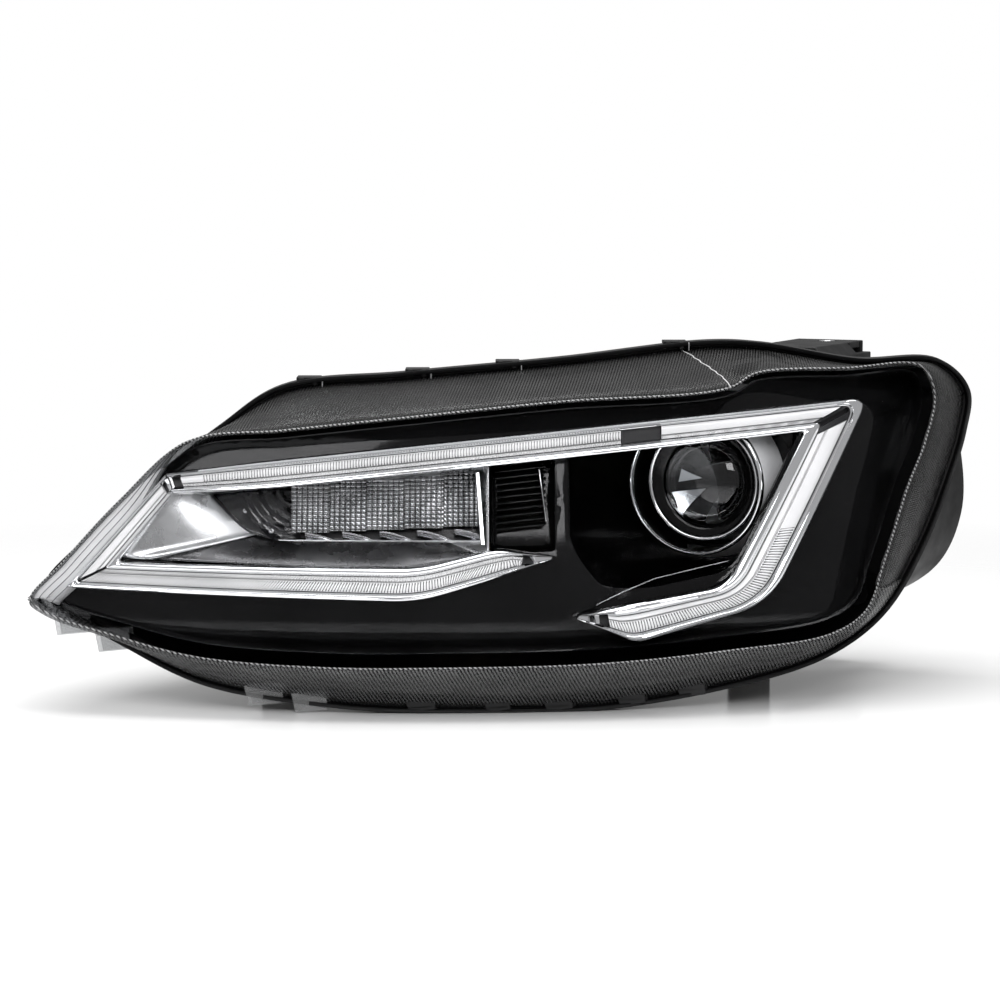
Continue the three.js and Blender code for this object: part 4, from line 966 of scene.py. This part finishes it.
def signal_lens():
    """Clear optic with pillows, cut to a slope at its inboard lower corner."""
    spacing = 0.58
    rows = int(46 / spacing)
    rings = []
    for i in range(int(5 * OPTIC_COLUMN / spacing) + 1):
        across = i * spacing
        column = min(int(across / OPTIC_COLUMN), 4)
        top, bottom = 148.6 + across * 0.068, 117.5 + column
        behind = SIGNAL_DEPTH + 2.2 + 1.4 * column % 2.0
        u = OPTIC_START + across
        heights = (bottom + (top - bottom) * j / rows for j in range(rows + 1))
        rings.append([lift((u, z), behind - pillow_height(u, z, column)) for z in heights])
    optic = loft(rings, caps=False, around=False)
    add("signal_optic", optic, "signal_clear", "fluted_clear", "turn_signal_lens", sharp=25, wall=1.0)


def surround_offset(u, z):
    """Dark surround of the signal, with concentric arcs at its inboard end."""
    radius = math.hypot(u + 128, (z - 148) * 1.15)
    arcs = 0.8 * (1 + math.cos(radius * 0.75)) if 18 < radius < 46 and u < -132 else 0.0
    return SIGNAL_DEPTH + 12 - arcs - 6 * smooth(-u, 138, 175)


def signal_back():
    """Dark surround, five chrome scallops under the optic, two screws and a sill."""
    outline = rounded([(-192, 141, 3), (-180, 128, 8), (-164, 114, 9), (-146, 110, 6), (-10, 110, 2),
                       (-14, 158.5, 2), (-131, 150, 20)])
    plate = sheet(outline, [], surround_offset, 1.6)
    add("signal_surround", plate, "signal_dark", "gloss_black", "turn_signal_reflector", sharp=30, wall=1.0)
    parts = []
    for k in range(5):
        rings = []
        for s in (j / 12 for j in range(13)):
            u = -128 + 24.5 * k + 22.5 * s
            crown = 118 + k * 0.6 - 6.5 * s ** 1.6
            rings.append([lift((u, crown - 5.5 * t), SIGNAL_DEPTH + 1 + 7 * t * t + 2 * s) for t in
                          (0, 0.25, 0.5, 0.75, 1.0)])
        parts.append(loft(rings, caps=False, around=False))
    # painted shade: the scallops take the darkened copy of chrome
    add("signal_scallops", joined(*parts), "chrome_shaded", "chrome", sharp=40, wall=0.8, edge=0.25)
    parts = []
    for u, z in ((-168, 131), (-151, 117.5)):
        places = [(u + radius * math.cos(a), z + radius * math.sin(a), rise)
                  for radius, rise in ((0.3, 0.9), (1.0, 1.3), (1.7, 1.0), (1.9, -1.0)) for a in turns(16)]
        points = [lift((x, y), surround_offset(u, z) - rise) for x, y, rise in places]
        parts.append(loft([points[i:i + 16] for i in range(0, len(points), 16)]))
    add("signal_screws", joined(*parts), "steel", "steel", sharp=50)
    sill = [(-146, 111.8), (-12, 111.6), (-12, 113.0), (-146, 113.2)]
    add("signal_sill", prism(sill, SIGNAL_DEPTH - 2, SIGNAL_DEPTH + 9), "chrome", "chrome", edge=0.3)


def vane_panel():
    """Dark slatted panel between the signal and the projector, with bright strips at its sides."""
    outline = rounded([(-6.6, 105, 1), (36.5, 107.5, 3), (36.5, 170, 3), (-6.6, 166, 1)])
    back = sheet(outline, [], lambda u, z: 40.0, 5.0)
    add("vane_back", back, "gloss_black", "satin_black", "vane_panel", wall=2.0)
    section = [(0, 27), (0.8, 26.4), (1.3, 27.4), (1.3, 39.8), (0, 39.8)]
    parts = [loft([[lift((u, 122 + 4.1 * k + 0.1 * (u - 12) + rise), depth) for rise, depth in section]
                   for u in (-3, 8, 20, 30)]) for k in range(11)]
    add("vane_slats", joined(*parts), "gloss_black", "satin_black", edge=0.25)
    post = [(-12.6, 112), (-9.6, 111.6), (-13.4, 158.6), (-16.0, 158.2)]
    add("signal_post", prism(post, 24.0, 43.0), "chrome", "chrome", edge=0.6, segments=3)
    strip = [(29.8, 126.5), (30.6, 126.5), (26.0, 160.0), (25.2, 160.0)]
    add("vane_edge", prism(strip, 24.5, 39.0), "chrome", "chrome", edge=0.4)


# ------------------------------------------------------------------ projector


def from_pivot(points):
    return [(radius, PIVOT_Y + y) for radius, y in points]


def projector():
    """Fixed sleeve, then the glass, its ring and the barrel, which move with the aim."""
    foot = WELL_FLOOR_Y - 0.5
    lip = [(45.6, 150.5), (45.8, 148.4), (46.5, SLEEVE_FRONT_Y), (47.4, 147.0), (SLEEVE_RADIUS + 0.9, 148.2),
           (SLEEVE_RADIUS + 0.9, 150.5)]
    add("sleeve_lip", lathe(lip, 144), "chrome", "chrome", "projector_sleeve", sharp=60)
    # painted reflection: the chrome flank is finished in white diffuse
    flank = [(46.4, 150.4), (SLEEVE_RADIUS + 0.4, 150.4), (SLEEVE_RADIUS + 5.0, foot), (46.4, foot)]
    add("sleeve_flank", lathe(flank, 144), "flank", "chrome")
    # painted shade: the inside of the sleeve is lined with darkened chrome
    liner = [[around_axis(radius, y, a) for a in turns(30, lean)] for radius, y, lean in
             ((45.9, 150.5, 0), (46.1, 160, 0.5), (46.0, 170, 0), (46.1, foot, 0.5))]
    add("sleeve_liner", loft(liner, caps=False), "chrome_shaded", "chrome", sharp=10)

    dome = [(31 * math.cos(a), -63 - 16 * math.sin(a)) for a in (math.pi / 2 * k / 16 for k in range(16))]
    turned = [
        ("projector_glass", [(0.05, -59.2), (30.8, -59.2), *dome, (0.05, -79)], 144,
         "optical_glass", 50, "optical_glass", "projector_lens"),
        ("retainer_ring", [(29.7, -70.0), (31.5, -71.2), (34.5, -71.4), (36.4, -71.8), (36.8, -69.9),
                           (36.8, -69.4), (30.9, -69.4), (30.9, -65.0), (29.7, -66)], 144,
         "gloss_black", 40, "chrome", "lens_retainer"),
        ("retainer_bead", [(36.9, -69.4), (36.9, -71.8), (37.4, -72.9), (38.5, -73.2), (39.5, -72.6),
                           (39.9, -71.2), (39.9, -69.4)], 144,
         "chrome", 60, "chrome"),
        ("barrel_shell", [(31.3, -69), (39.5, -69), (40.2, -66), (41, -40), (41, -10), (38.5, -10),
                          (38.5, -40), (28, -58.6), (31.3, -58.6)], 120,
         "aluminium", 30, "aluminium", "lens_barrel"),
        ("glass_baffle", [(27.6, -58.2), (24, -50), (17, -44), (17, -43), (28.2, -43), (28.2, -58.2)], 72,
         "gloss_black", 30, "satin_black"),
        ("glass_screen", [(0.05, -43.4), (17.2, -43.4), (17.2, -42.6), (0.05, -42.6)], 48,
         "gloss_black", 30, "satin_black"),
    ]
    for name, profile, sides, finish, sharp, slot, *nodes in turned:
        add(name, lathe(from_pivot(profile), sides), finish, slot, *nodes, body="projector", sharp=sharp)
    painted_glass_reflections()


def painted_glass_reflections():
    """Thin bright wedges behind the glass that paint the reflections seen in it, as (turn, reach, half spread,
    tilt).
    """
    parts = []
    for turn, reach, spread, tilt in ((176, 19, 10, 3), (212, 24, 14, 2), (262, 22, 8, 3), (322, 23, 11, 2),
                                      (345, 20, 6, 4), (28, 21, 7, 2), (115, 22, 6, 3)):
        corners = [(reach, turn - spread, -50.2), (reach + 1, turn + spread, -50.2),
                   (9, turn + 6, -46 + tilt * 0.3)]
        front = [around_axis(radius, PIVOT_Y + y - 0.4, math.radians(angle)) for radius, angle, y in corners]
        parts.append(loft([front, [point + Vector((0, 0.5 * MM, 0)) for point in front]]))
    add("glass_reflection_wedges", joined(*parts), "tray_lit_satin", "chrome", body="projector", sharp=20)


# ------------------------------------------------------------------ housing


def on_wall(x, z):
    """Where a line along Y meets the rear wall, as an outline point."""
    y = (REAR_DEPTH + x * math.sin(SWEEP)) / math.cos(SWEEP)
    return Vector((x * math.cos(SWEEP) + y * math.sin(SWEEP), z))


def hole(radius, x=AXIS_X, z=AXIS_Z, sides=48):
    return [on_wall(x + radius * math.cos(a), z + radius * math.sin(a)) for a in turns(sides)]


def shell_rings():
    """Sections of the housing from the rim, over the shoulder, back to the rear wall's edge."""
    foot, rear = perimeter(2, 0, 12), perimeter(4, 0, 12)
    waist = grown(foot, -1)
    depths = [foot_depth(p.x, p.y) for p in foot]
    rings = []
    for distance, behind in ((1.9, -9), (4.5, -9), (4.5, 2), (4.5, 8), (3.5, 9), (-1, 17)):
        rings.append([face(p.x, d + behind, p.y) for p, d in zip(grown(foot, distance), depths)])
    for t in (j / 12 for j in range(1, 13)):
        rings.append([face(a.x + (b.x - a.x) * t, (d + 17) + (REAR_DEPTH - 4 - d - 17) * t,
                           a.y + (b.y - a.y) * t) for a, b, d in zip(waist, rear, depths)])
    for distance, depth in ((-1.2, REAR_DEPTH - 1.2), (-4, REAR_DEPTH)):
        rings.append([face(p.x, depth, p.y) for p in grown(rear, distance)])
    floor = car(0, 0, BASE_Z).z
    return [[Vector((p.x, p.y, max(p.z, floor))) for p in ring] for ring in rings]


def housing():
    """Shell, rear wall with its holes, and the tubes on it."""
    shell = loft(shell_rings(), caps=False)
    add("housing_shell", shell, "housing_black", "housing_black", "housing", sharp=42, wall=-2.6)
    holes = [hole(PORT_RADIUS - 3), hole(12, 97, 79, 24), hole(5, 137, 171, 16), hole(5, 140, 58, 16)]
    back = grown(perimeter(4, 0, 12), -4)
    wall = sheet(back, holes, lambda u, z: REAR_DEPTH - lens_depth(u, z), 9.0)
    add("housing_rear_wall", wall, "housing_black", "housing_black", wall=-2.6)
    port = [(PORT_RADIUS - 3, 268), (PORT_RADIUS, 268), (PORT_RADIUS, PORT_END_Y - 1),
            (PORT_RADIUS - 0.8, PORT_END_Y), (PORT_RADIUS - 2.2, PORT_END_Y), (PORT_RADIUS - 3, 339)]
    tubes = [lathe(port)]
    for inner, outer, start, end, sides, x, z in ((11.6, 16, 270, 315, 64, 97, 79),
                                                  (4.2, 9, 280, 335, 48, 137, 171),
                                                  (4.2, 9, 290, 338, 48, 140, 58)):
        tubes.append(lathe([(inner, start), (outer, start), (outer, end - 0.8), (outer - 0.8, end),
                            (inner, end)], sides, x, z))
    add("housing_tubes", joined(*tubes), "housing_black", "housing_black", sharp=40)
    housing_ribs()
    housing_mounts()


def housing_ribs():
    """Stiffening ribs on the rear wall and round the port."""
    parts = []
    for u0, z0, u1, z1 in ((-176, 138, 150, 196), (-178, 56, 120, 44), (-72, 140, -72, 172),
                           (60, 124, 92, 140), (-60, 126, 76, 126)):
        a, b = Vector((u0, z0)), Vector((u1, z1))
        side = Vector((a.y - b.y, b.x - a.x)).normalized() * 1.2
        parts.append(slab([a - side, b - side, b + side, a + side], REAR_DEPTH - 0.4, REAR_DEPTH + 4.2))
    for angle in turns(10, 0.5):
        out = Vector((math.cos(angle), math.sin(angle)))
        across = Vector((-out.y, out.x))
        rings = []
        for y, far in ((290, PORT_RADIUS + 7), (327, PORT_RADIUS + 1.3)):
            near = out * (PORT_RADIUS - 0.5)
            corners = [near - across, out * far - across, out * far + across, near + across]
            rings.append([car(AXIS_X + p.x, y, AXIS_Z + p.y) for p in corners])
        parts.append(loft(rings))
    add("housing_ribs", joined(*parts), "housing_black", "housing_black", edge=0.5)


def housing_mounts():
    """Arm, bolt tabs and rear feet."""
    a = ARM
    section = [(a["x0"], a["z0"]), (a["x1"], a["z0"]), (a["x1"], a["z1"] - ARM_BEVEL),
               (a["x1"] - ARM_BEVEL, a["z1"]), (a["x0"], a["z1"])]
    middle = (a["x0"] + a["x1"]) / 2
    front, end, lowest, top = a["bolt_y"] - 15, a["y1"], a["z0"], a["z1"]
    arm = [
        loft([[car(x, y, z) for x, z in section] for y in (a["y0"], front + 1)]),
        block(a["x0"], a["x0"] + 4, front, end, lowest, top),
        block(a["x1"] - 7, a["x1"], front, end, lowest, top - ARM_BEVEL),
        block(a["x0"] + 3, a["x1"] - 6, end - 4, end, lowest, top),
        ring_plate(middle, a["bolt_y"], top - 5, top, a["x0"] + 3, a["x1"] - 6, front, end - 3, car),
        collar(middle, a["bolt_y"], lowest, top - 1, car),
    ]
    tabs = []
    for u, w, z in TABS:
        tabs.append(ring_plate(u, w, z, z + 5, u - 16, u + 16, REAR_DEPTH - 1, w + 15, face))
        tabs.append(block(u - 14, u - 11, REAR_DEPTH - 1, w - 4, z - 18, z + 0.5, face))
        tabs.append(block(u + 11, u + 14, REAR_DEPTH - 1, w - 4, z - 12, z + 0.5, face))
        tabs.append(collar(u, w, z - 0.8, z + 5.6, face))
    feet = [block(u - 14, u + 14, w - 12, w + 12, BASE_Z, 46, face) for u, w in FEET]
    for name, parts, edge, segments in (("arm", arm, 0.8, 2), ("tabs", tabs, 0.6, 2), ("feet", feet, 1.2, 3)):
        add(f"housing_{name}", joined(*parts), "housing_black", "housing_black", edge=edge, segments=segments)


def ring_plate(x, y, z0, z1, x0, x1, y0, y1, place):
    """Plate with a round hole: its outline is followed by angle round the hole."""
    outline = rounded([(x0, y0, 0), (x1, y0, 0), (x1, y1, 8), (x0, y1, 8)])
    centre = Vector((x, y))
    outer = [toward(centre, outline, a) for a in turns(64)]
    inner = [centre + BOLT_HOLE * Vector((math.cos(a), math.sin(a))) for a in turns(64)]
    rings = [[place(p.x, p.y, z) for p in ring] for ring, z in
             ((inner, z0), (outer, z0), (outer, z1), (inner, z1))]
    return loft(rings, caps=False, closed=True)


def collar(x, y, z0, z1, place):
    """Round wall about a bolt hole."""
    rings = [[place(x + radius * math.cos(a), y + radius * math.sin(a), z) for a in turns(40)]
             for radius, z in ((BOLT_HOLE, z0), (9, z0), (9, z1), (BOLT_HOLE, z1))]
    return loft(rings, caps=False, closed=True)


def gasket():
    """Sealant between the lens and the housing."""
    bead = rim(2, foot_depth, [
        (1.4, 0.7), (1.4, 4.7), (-4.1, 4.7), (-4.1, 0.7), (-2.4, -0.4), (0.2, -0.2),
    ])
    add("sealant_bead", bead, "rubber", "rubber", "lens_gasket", sharp=60)


def rim_clips():
    """Spring clips and witness gaps along the top rim."""
    foot = perimeter(2, 4.6, 12)
    parts, marks = [], []
    for u in (120, 4, -58, -128):
        x, z = foot[top_index(foot, u)]
        w = foot_depth(x, z)
        parts.append(block(x - 8, x + 8, w - 8, w + 12, z - 1.2, z + 1.0, face))
        parts.append(block(x - 6, x - 3, w - 9.4, w - 2, z - 4, z + 0.6, face))
        parts.append(block(x + 3, x + 6, w - 9.4, w - 2, z - 4, z + 0.6, face))
        marks.append(block(x + 9, x + 9.7, w - 9.3, w + 6, z - 5.4, z + 0.2, face))
    add("rim_clips", joined(*parts), "housing_black", "housing_black", edge=0.4)
    add("rim_marks", joined(*marks), "steel", "steel", edge=0.15)


# ------------------------------------------------------------------ rear fittings


def bulb_cap():
    """Twist cap with a ribbed skirt, a grip bar and six locking lugs, and its seal."""
    profile = [(0.1, 345.4), (20, 345.6), (46, 345.2), (48.6, 344.6), (49.7, 343.0), (50, 340), (50, 329),
               (50, 326.4), (49.4, 326), (47.2, 326), (46.9, 327), (46.9, 342.4), (0.1, 342.4)]
    rings = []
    for radius, y in profile:
        rib = 0.9 if y in (340, 329) else 0
        rings.append([around_axis(radius + (rib if k % 6 < 3 else 0), y, a)
                      for k, a in enumerate(turns(180))])
    parts = [loft(rings, caps=False, closed=True)]
    grip = rounded([(-34, -3.5, 3.2), (34, -3.5, 3.2), (34, 3.5, 3.2), (-34, 3.5, 3.2)])
    for share, y0, y1 in ((1.0, 345, 355.2), (0.93, 355.2, 356)):
        parts.append(loft([[car(AXIS_X + p.x * s, y, AXIS_Z + p.y * s) for p in grip]
                           for y, s in ((y0, 1.0), (y1, share))]))
    for angle in turns(6, 0.5):
        out = Vector((math.cos(angle), math.sin(angle)))
        across = Vector((-out.y, out.x)) * 3
        corners = [out * 49.4 - across, out * 52 - across, out * 52 + across, out * 49.4 + across]
        parts.append(loft([[car(AXIS_X + p.x, y, AXIS_Z + p.y) for p in corners] for y in (327, 342)]))
    add("cap_shell", joined(*parts), "satin_black", "satin_black", "bulb_cap", body="cap", sharp=30, edge=0.5)
    seal = [(43, 340.4), (46, 340.4), (46.2, 341.3), (46, 342.2), (44.5, 342.2), (43, 342.2)]
    add("cap_seal", lathe(seal), "rubber", "rubber", "bulb_cap_seal", body="cap_seal", sharp=60)


def loom():
    """Corrugated wiring sleeve clipped along the rear wall."""
    points = [(-71.7, 246, 95), (-64, 246, 95), (-58, 245.4, 108), (-40, 245, 117), (-10, 245, 117),
              (20, 245, 112), (30, 245, 98), (30, 244.5, 84), (24.3, 242.5, 78)]
    path = [face(*p) for p in points]
    samples = []
    for i in range(len(path) - 1):
        p0, p1, p2, p3 = path[max(i - 1, 0)], path[i], path[i + 1], path[min(i + 2, len(path) - 1)]
        for t in (k / 24 for k in range(24)):
            samples.append(0.5 * (2 * p1 + (p2 - p0) * t + (2 * p0 - 5 * p1 + 4 * p2 - p3) * t * t
                                  + (3 * p1 - p0 - 3 * p2 + p3) * t ** 3))
    samples.append(path[-1])
    rings = []
    wall = (face(0, 1, 0) - face(0, 0, 0)).normalized()
    for i, p in enumerate(samples):
        ahead = samples[min(i + 1, len(samples) - 1)] - samples[max(i - 1, 0)]
        side = ahead.cross(wall).normalized()
        radius = (3.3 if i % 4 < 2 else 2.8) * MM
        rings.append([p + (wall * math.cos(a) + side * math.sin(a)) * radius for a in turns(16)])
    add("loom_sleeve", loft(rings), "rubber", "rubber", "wiring_loom", sharp=60)


def refined(node_name, body, slot, edge):
    """Copy of a CAD node with its edges rounded and its round faces shaded smooth."""
    work = bmesh.new()
    work.from_mesh(frame["nodes"][node_name].data)
    bmesh.ops.remove_doubles(work, verts=work.verts, dist=0.01 * MM)
    bmesh.ops.dissolve_limit(work, angle_limit=math.radians(0.6), verts=work.verts, edges=work.edges)
    name = f"{node_name}_fine"
    mesh = bpy.data.meshes.new(name)
    work.to_mesh(mesh)
    work.free()
    obj = finished(name, mesh, slot)
    soften(obj, edge, angle=38)
    settle(obj, body, [node_name])


def remaining_nodes():
    """Every CAD node that no piece stands for yet gets fine edges and its own finish."""
    record = frame["record"]
    slots = {part["node"]: part["material_slot"] for part in record["subparts"]}
    for body, names in record["behaviour"]["bodies"].items():
        for name in names:
            if not frame["nodes"][name].hide_render:
                edge = 0.25 if slots[name] in ("circuit_board", "brass") else 0.5
                refined(name, body, slots[name], edge)


# ------------------------------------------------------------------ studio

# each softbox: place and aim in metres, width, height, power in watts
SOFTBOXES = {
    "softbox_top": ((0.0, 0.15, 1.5), (0, 0, 0.1), 2.2, 1.3, 36),
    "softbox_front": ((-0.3, -2.0, 1.5), (0, 0, 0.1), 1.8, 0.8, 26),
    "softbox_left": ((-1.6, -0.7, 0.7), (0, 0, 0.12), 0.6, 1.1, 9),
    "softbox_right": ((1.1, -1.5, 1.1), (0.1, 0, 0.12), 0.6, 0.8, 12),
}
FLOOR_HALF = 4.0


def floor_finish():
    """White floor, faintly glossy, that clears away with distance from the lamp."""
    tree = shader_tree("floor")
    body = node(tree, "BsdfPrincipled", {
        "Base Color": ramp(tree, noise(tree, 2.0), 0.93, 0.96),
        "Roughness": ramp(tree, noise(tree, 3.0), 0.10, 0.16),
        "Specular IOR Level": 0.35,
    })
    place = node(tree, "TexCoord").outputs["Object"]
    reach = node(tree, "VectorMath", {0: place}, operation="LENGTH").outputs["Value"]
    half = node(tree, "Math", {0: reach, 1: 0.5}, operation="MULTIPLY").outputs[0]
    passing = node(tree, "BsdfTransparent", {"Color": (1, 1, 1, 1)})
    faded = mixed(tree, ramp(tree, half, 1.0, 0.0, 0.22, 0.55), passing, body)
    node(tree, "OutputMaterial", {"Surface": faded.outputs[0]})


def studio():
    """Floor that fades into a white surround, which lights the lamp less than the camera sees."""
    floor_finish()
    h = FLOOR_HALF
    mesh = bpy.data.meshes.new("floor")
    mesh.from_pydata([(-h, -h, 0), (h, -h, 0), (h, h, 0), (-h, h, 0)], [], [(0, 1, 2, 3)])
    mesh.materials.append(FINISH["floor"])
    floor = bpy.data.objects.new("floor", mesh)
    floor.location.z = -0.0005
    bpy.context.scene.collection.objects.link(floor)
    for name, (place, aim, width, height, power) in SOFTBOXES.items():
        data = bpy.data.lights.new(name, "AREA")
        data.shape = "RECTANGLE"
        data.size, data.size_y = width, height
        data.energy = power
        obj = bpy.data.objects.new(name, data)
        obj.location = place
        obj.rotation_euler = (Vector(aim) - Vector(place)).to_track_quat("-Z", "Y").to_euler()
        bpy.context.scene.collection.objects.link(obj)
    world = bpy.data.worlds.new("surround")
    world.use_nodes = True
    tree = world.node_tree
    tree.nodes.clear()
    seen, unseen = (node(tree, "Background", {"Color": (1, 1, 1, 1), "Strength": s}) for s in (1.0, 0.42))
    rays = node(tree, "LightPath").outputs["Is Camera Ray"]
    node(tree, "OutputWorld", {"Surface": mixed(tree, rays, unseen, seen).outputs[0]})
    scene = bpy.context.scene
    scene.world = world
    scene.view_settings.view_transform = "Standard"
    scene.cycles.transparent_max_bounces = 32


for build in (camera, outer_lens, lens_wall, step_lines, lens_tabs, bezel, projector_well, light_bands,
              reflector_tray, signal_lens, signal_back, vane_panel, projector, housing, gasket, rim_clips,
              bulb_cap, loom, remaining_nodes, studio):
    build()
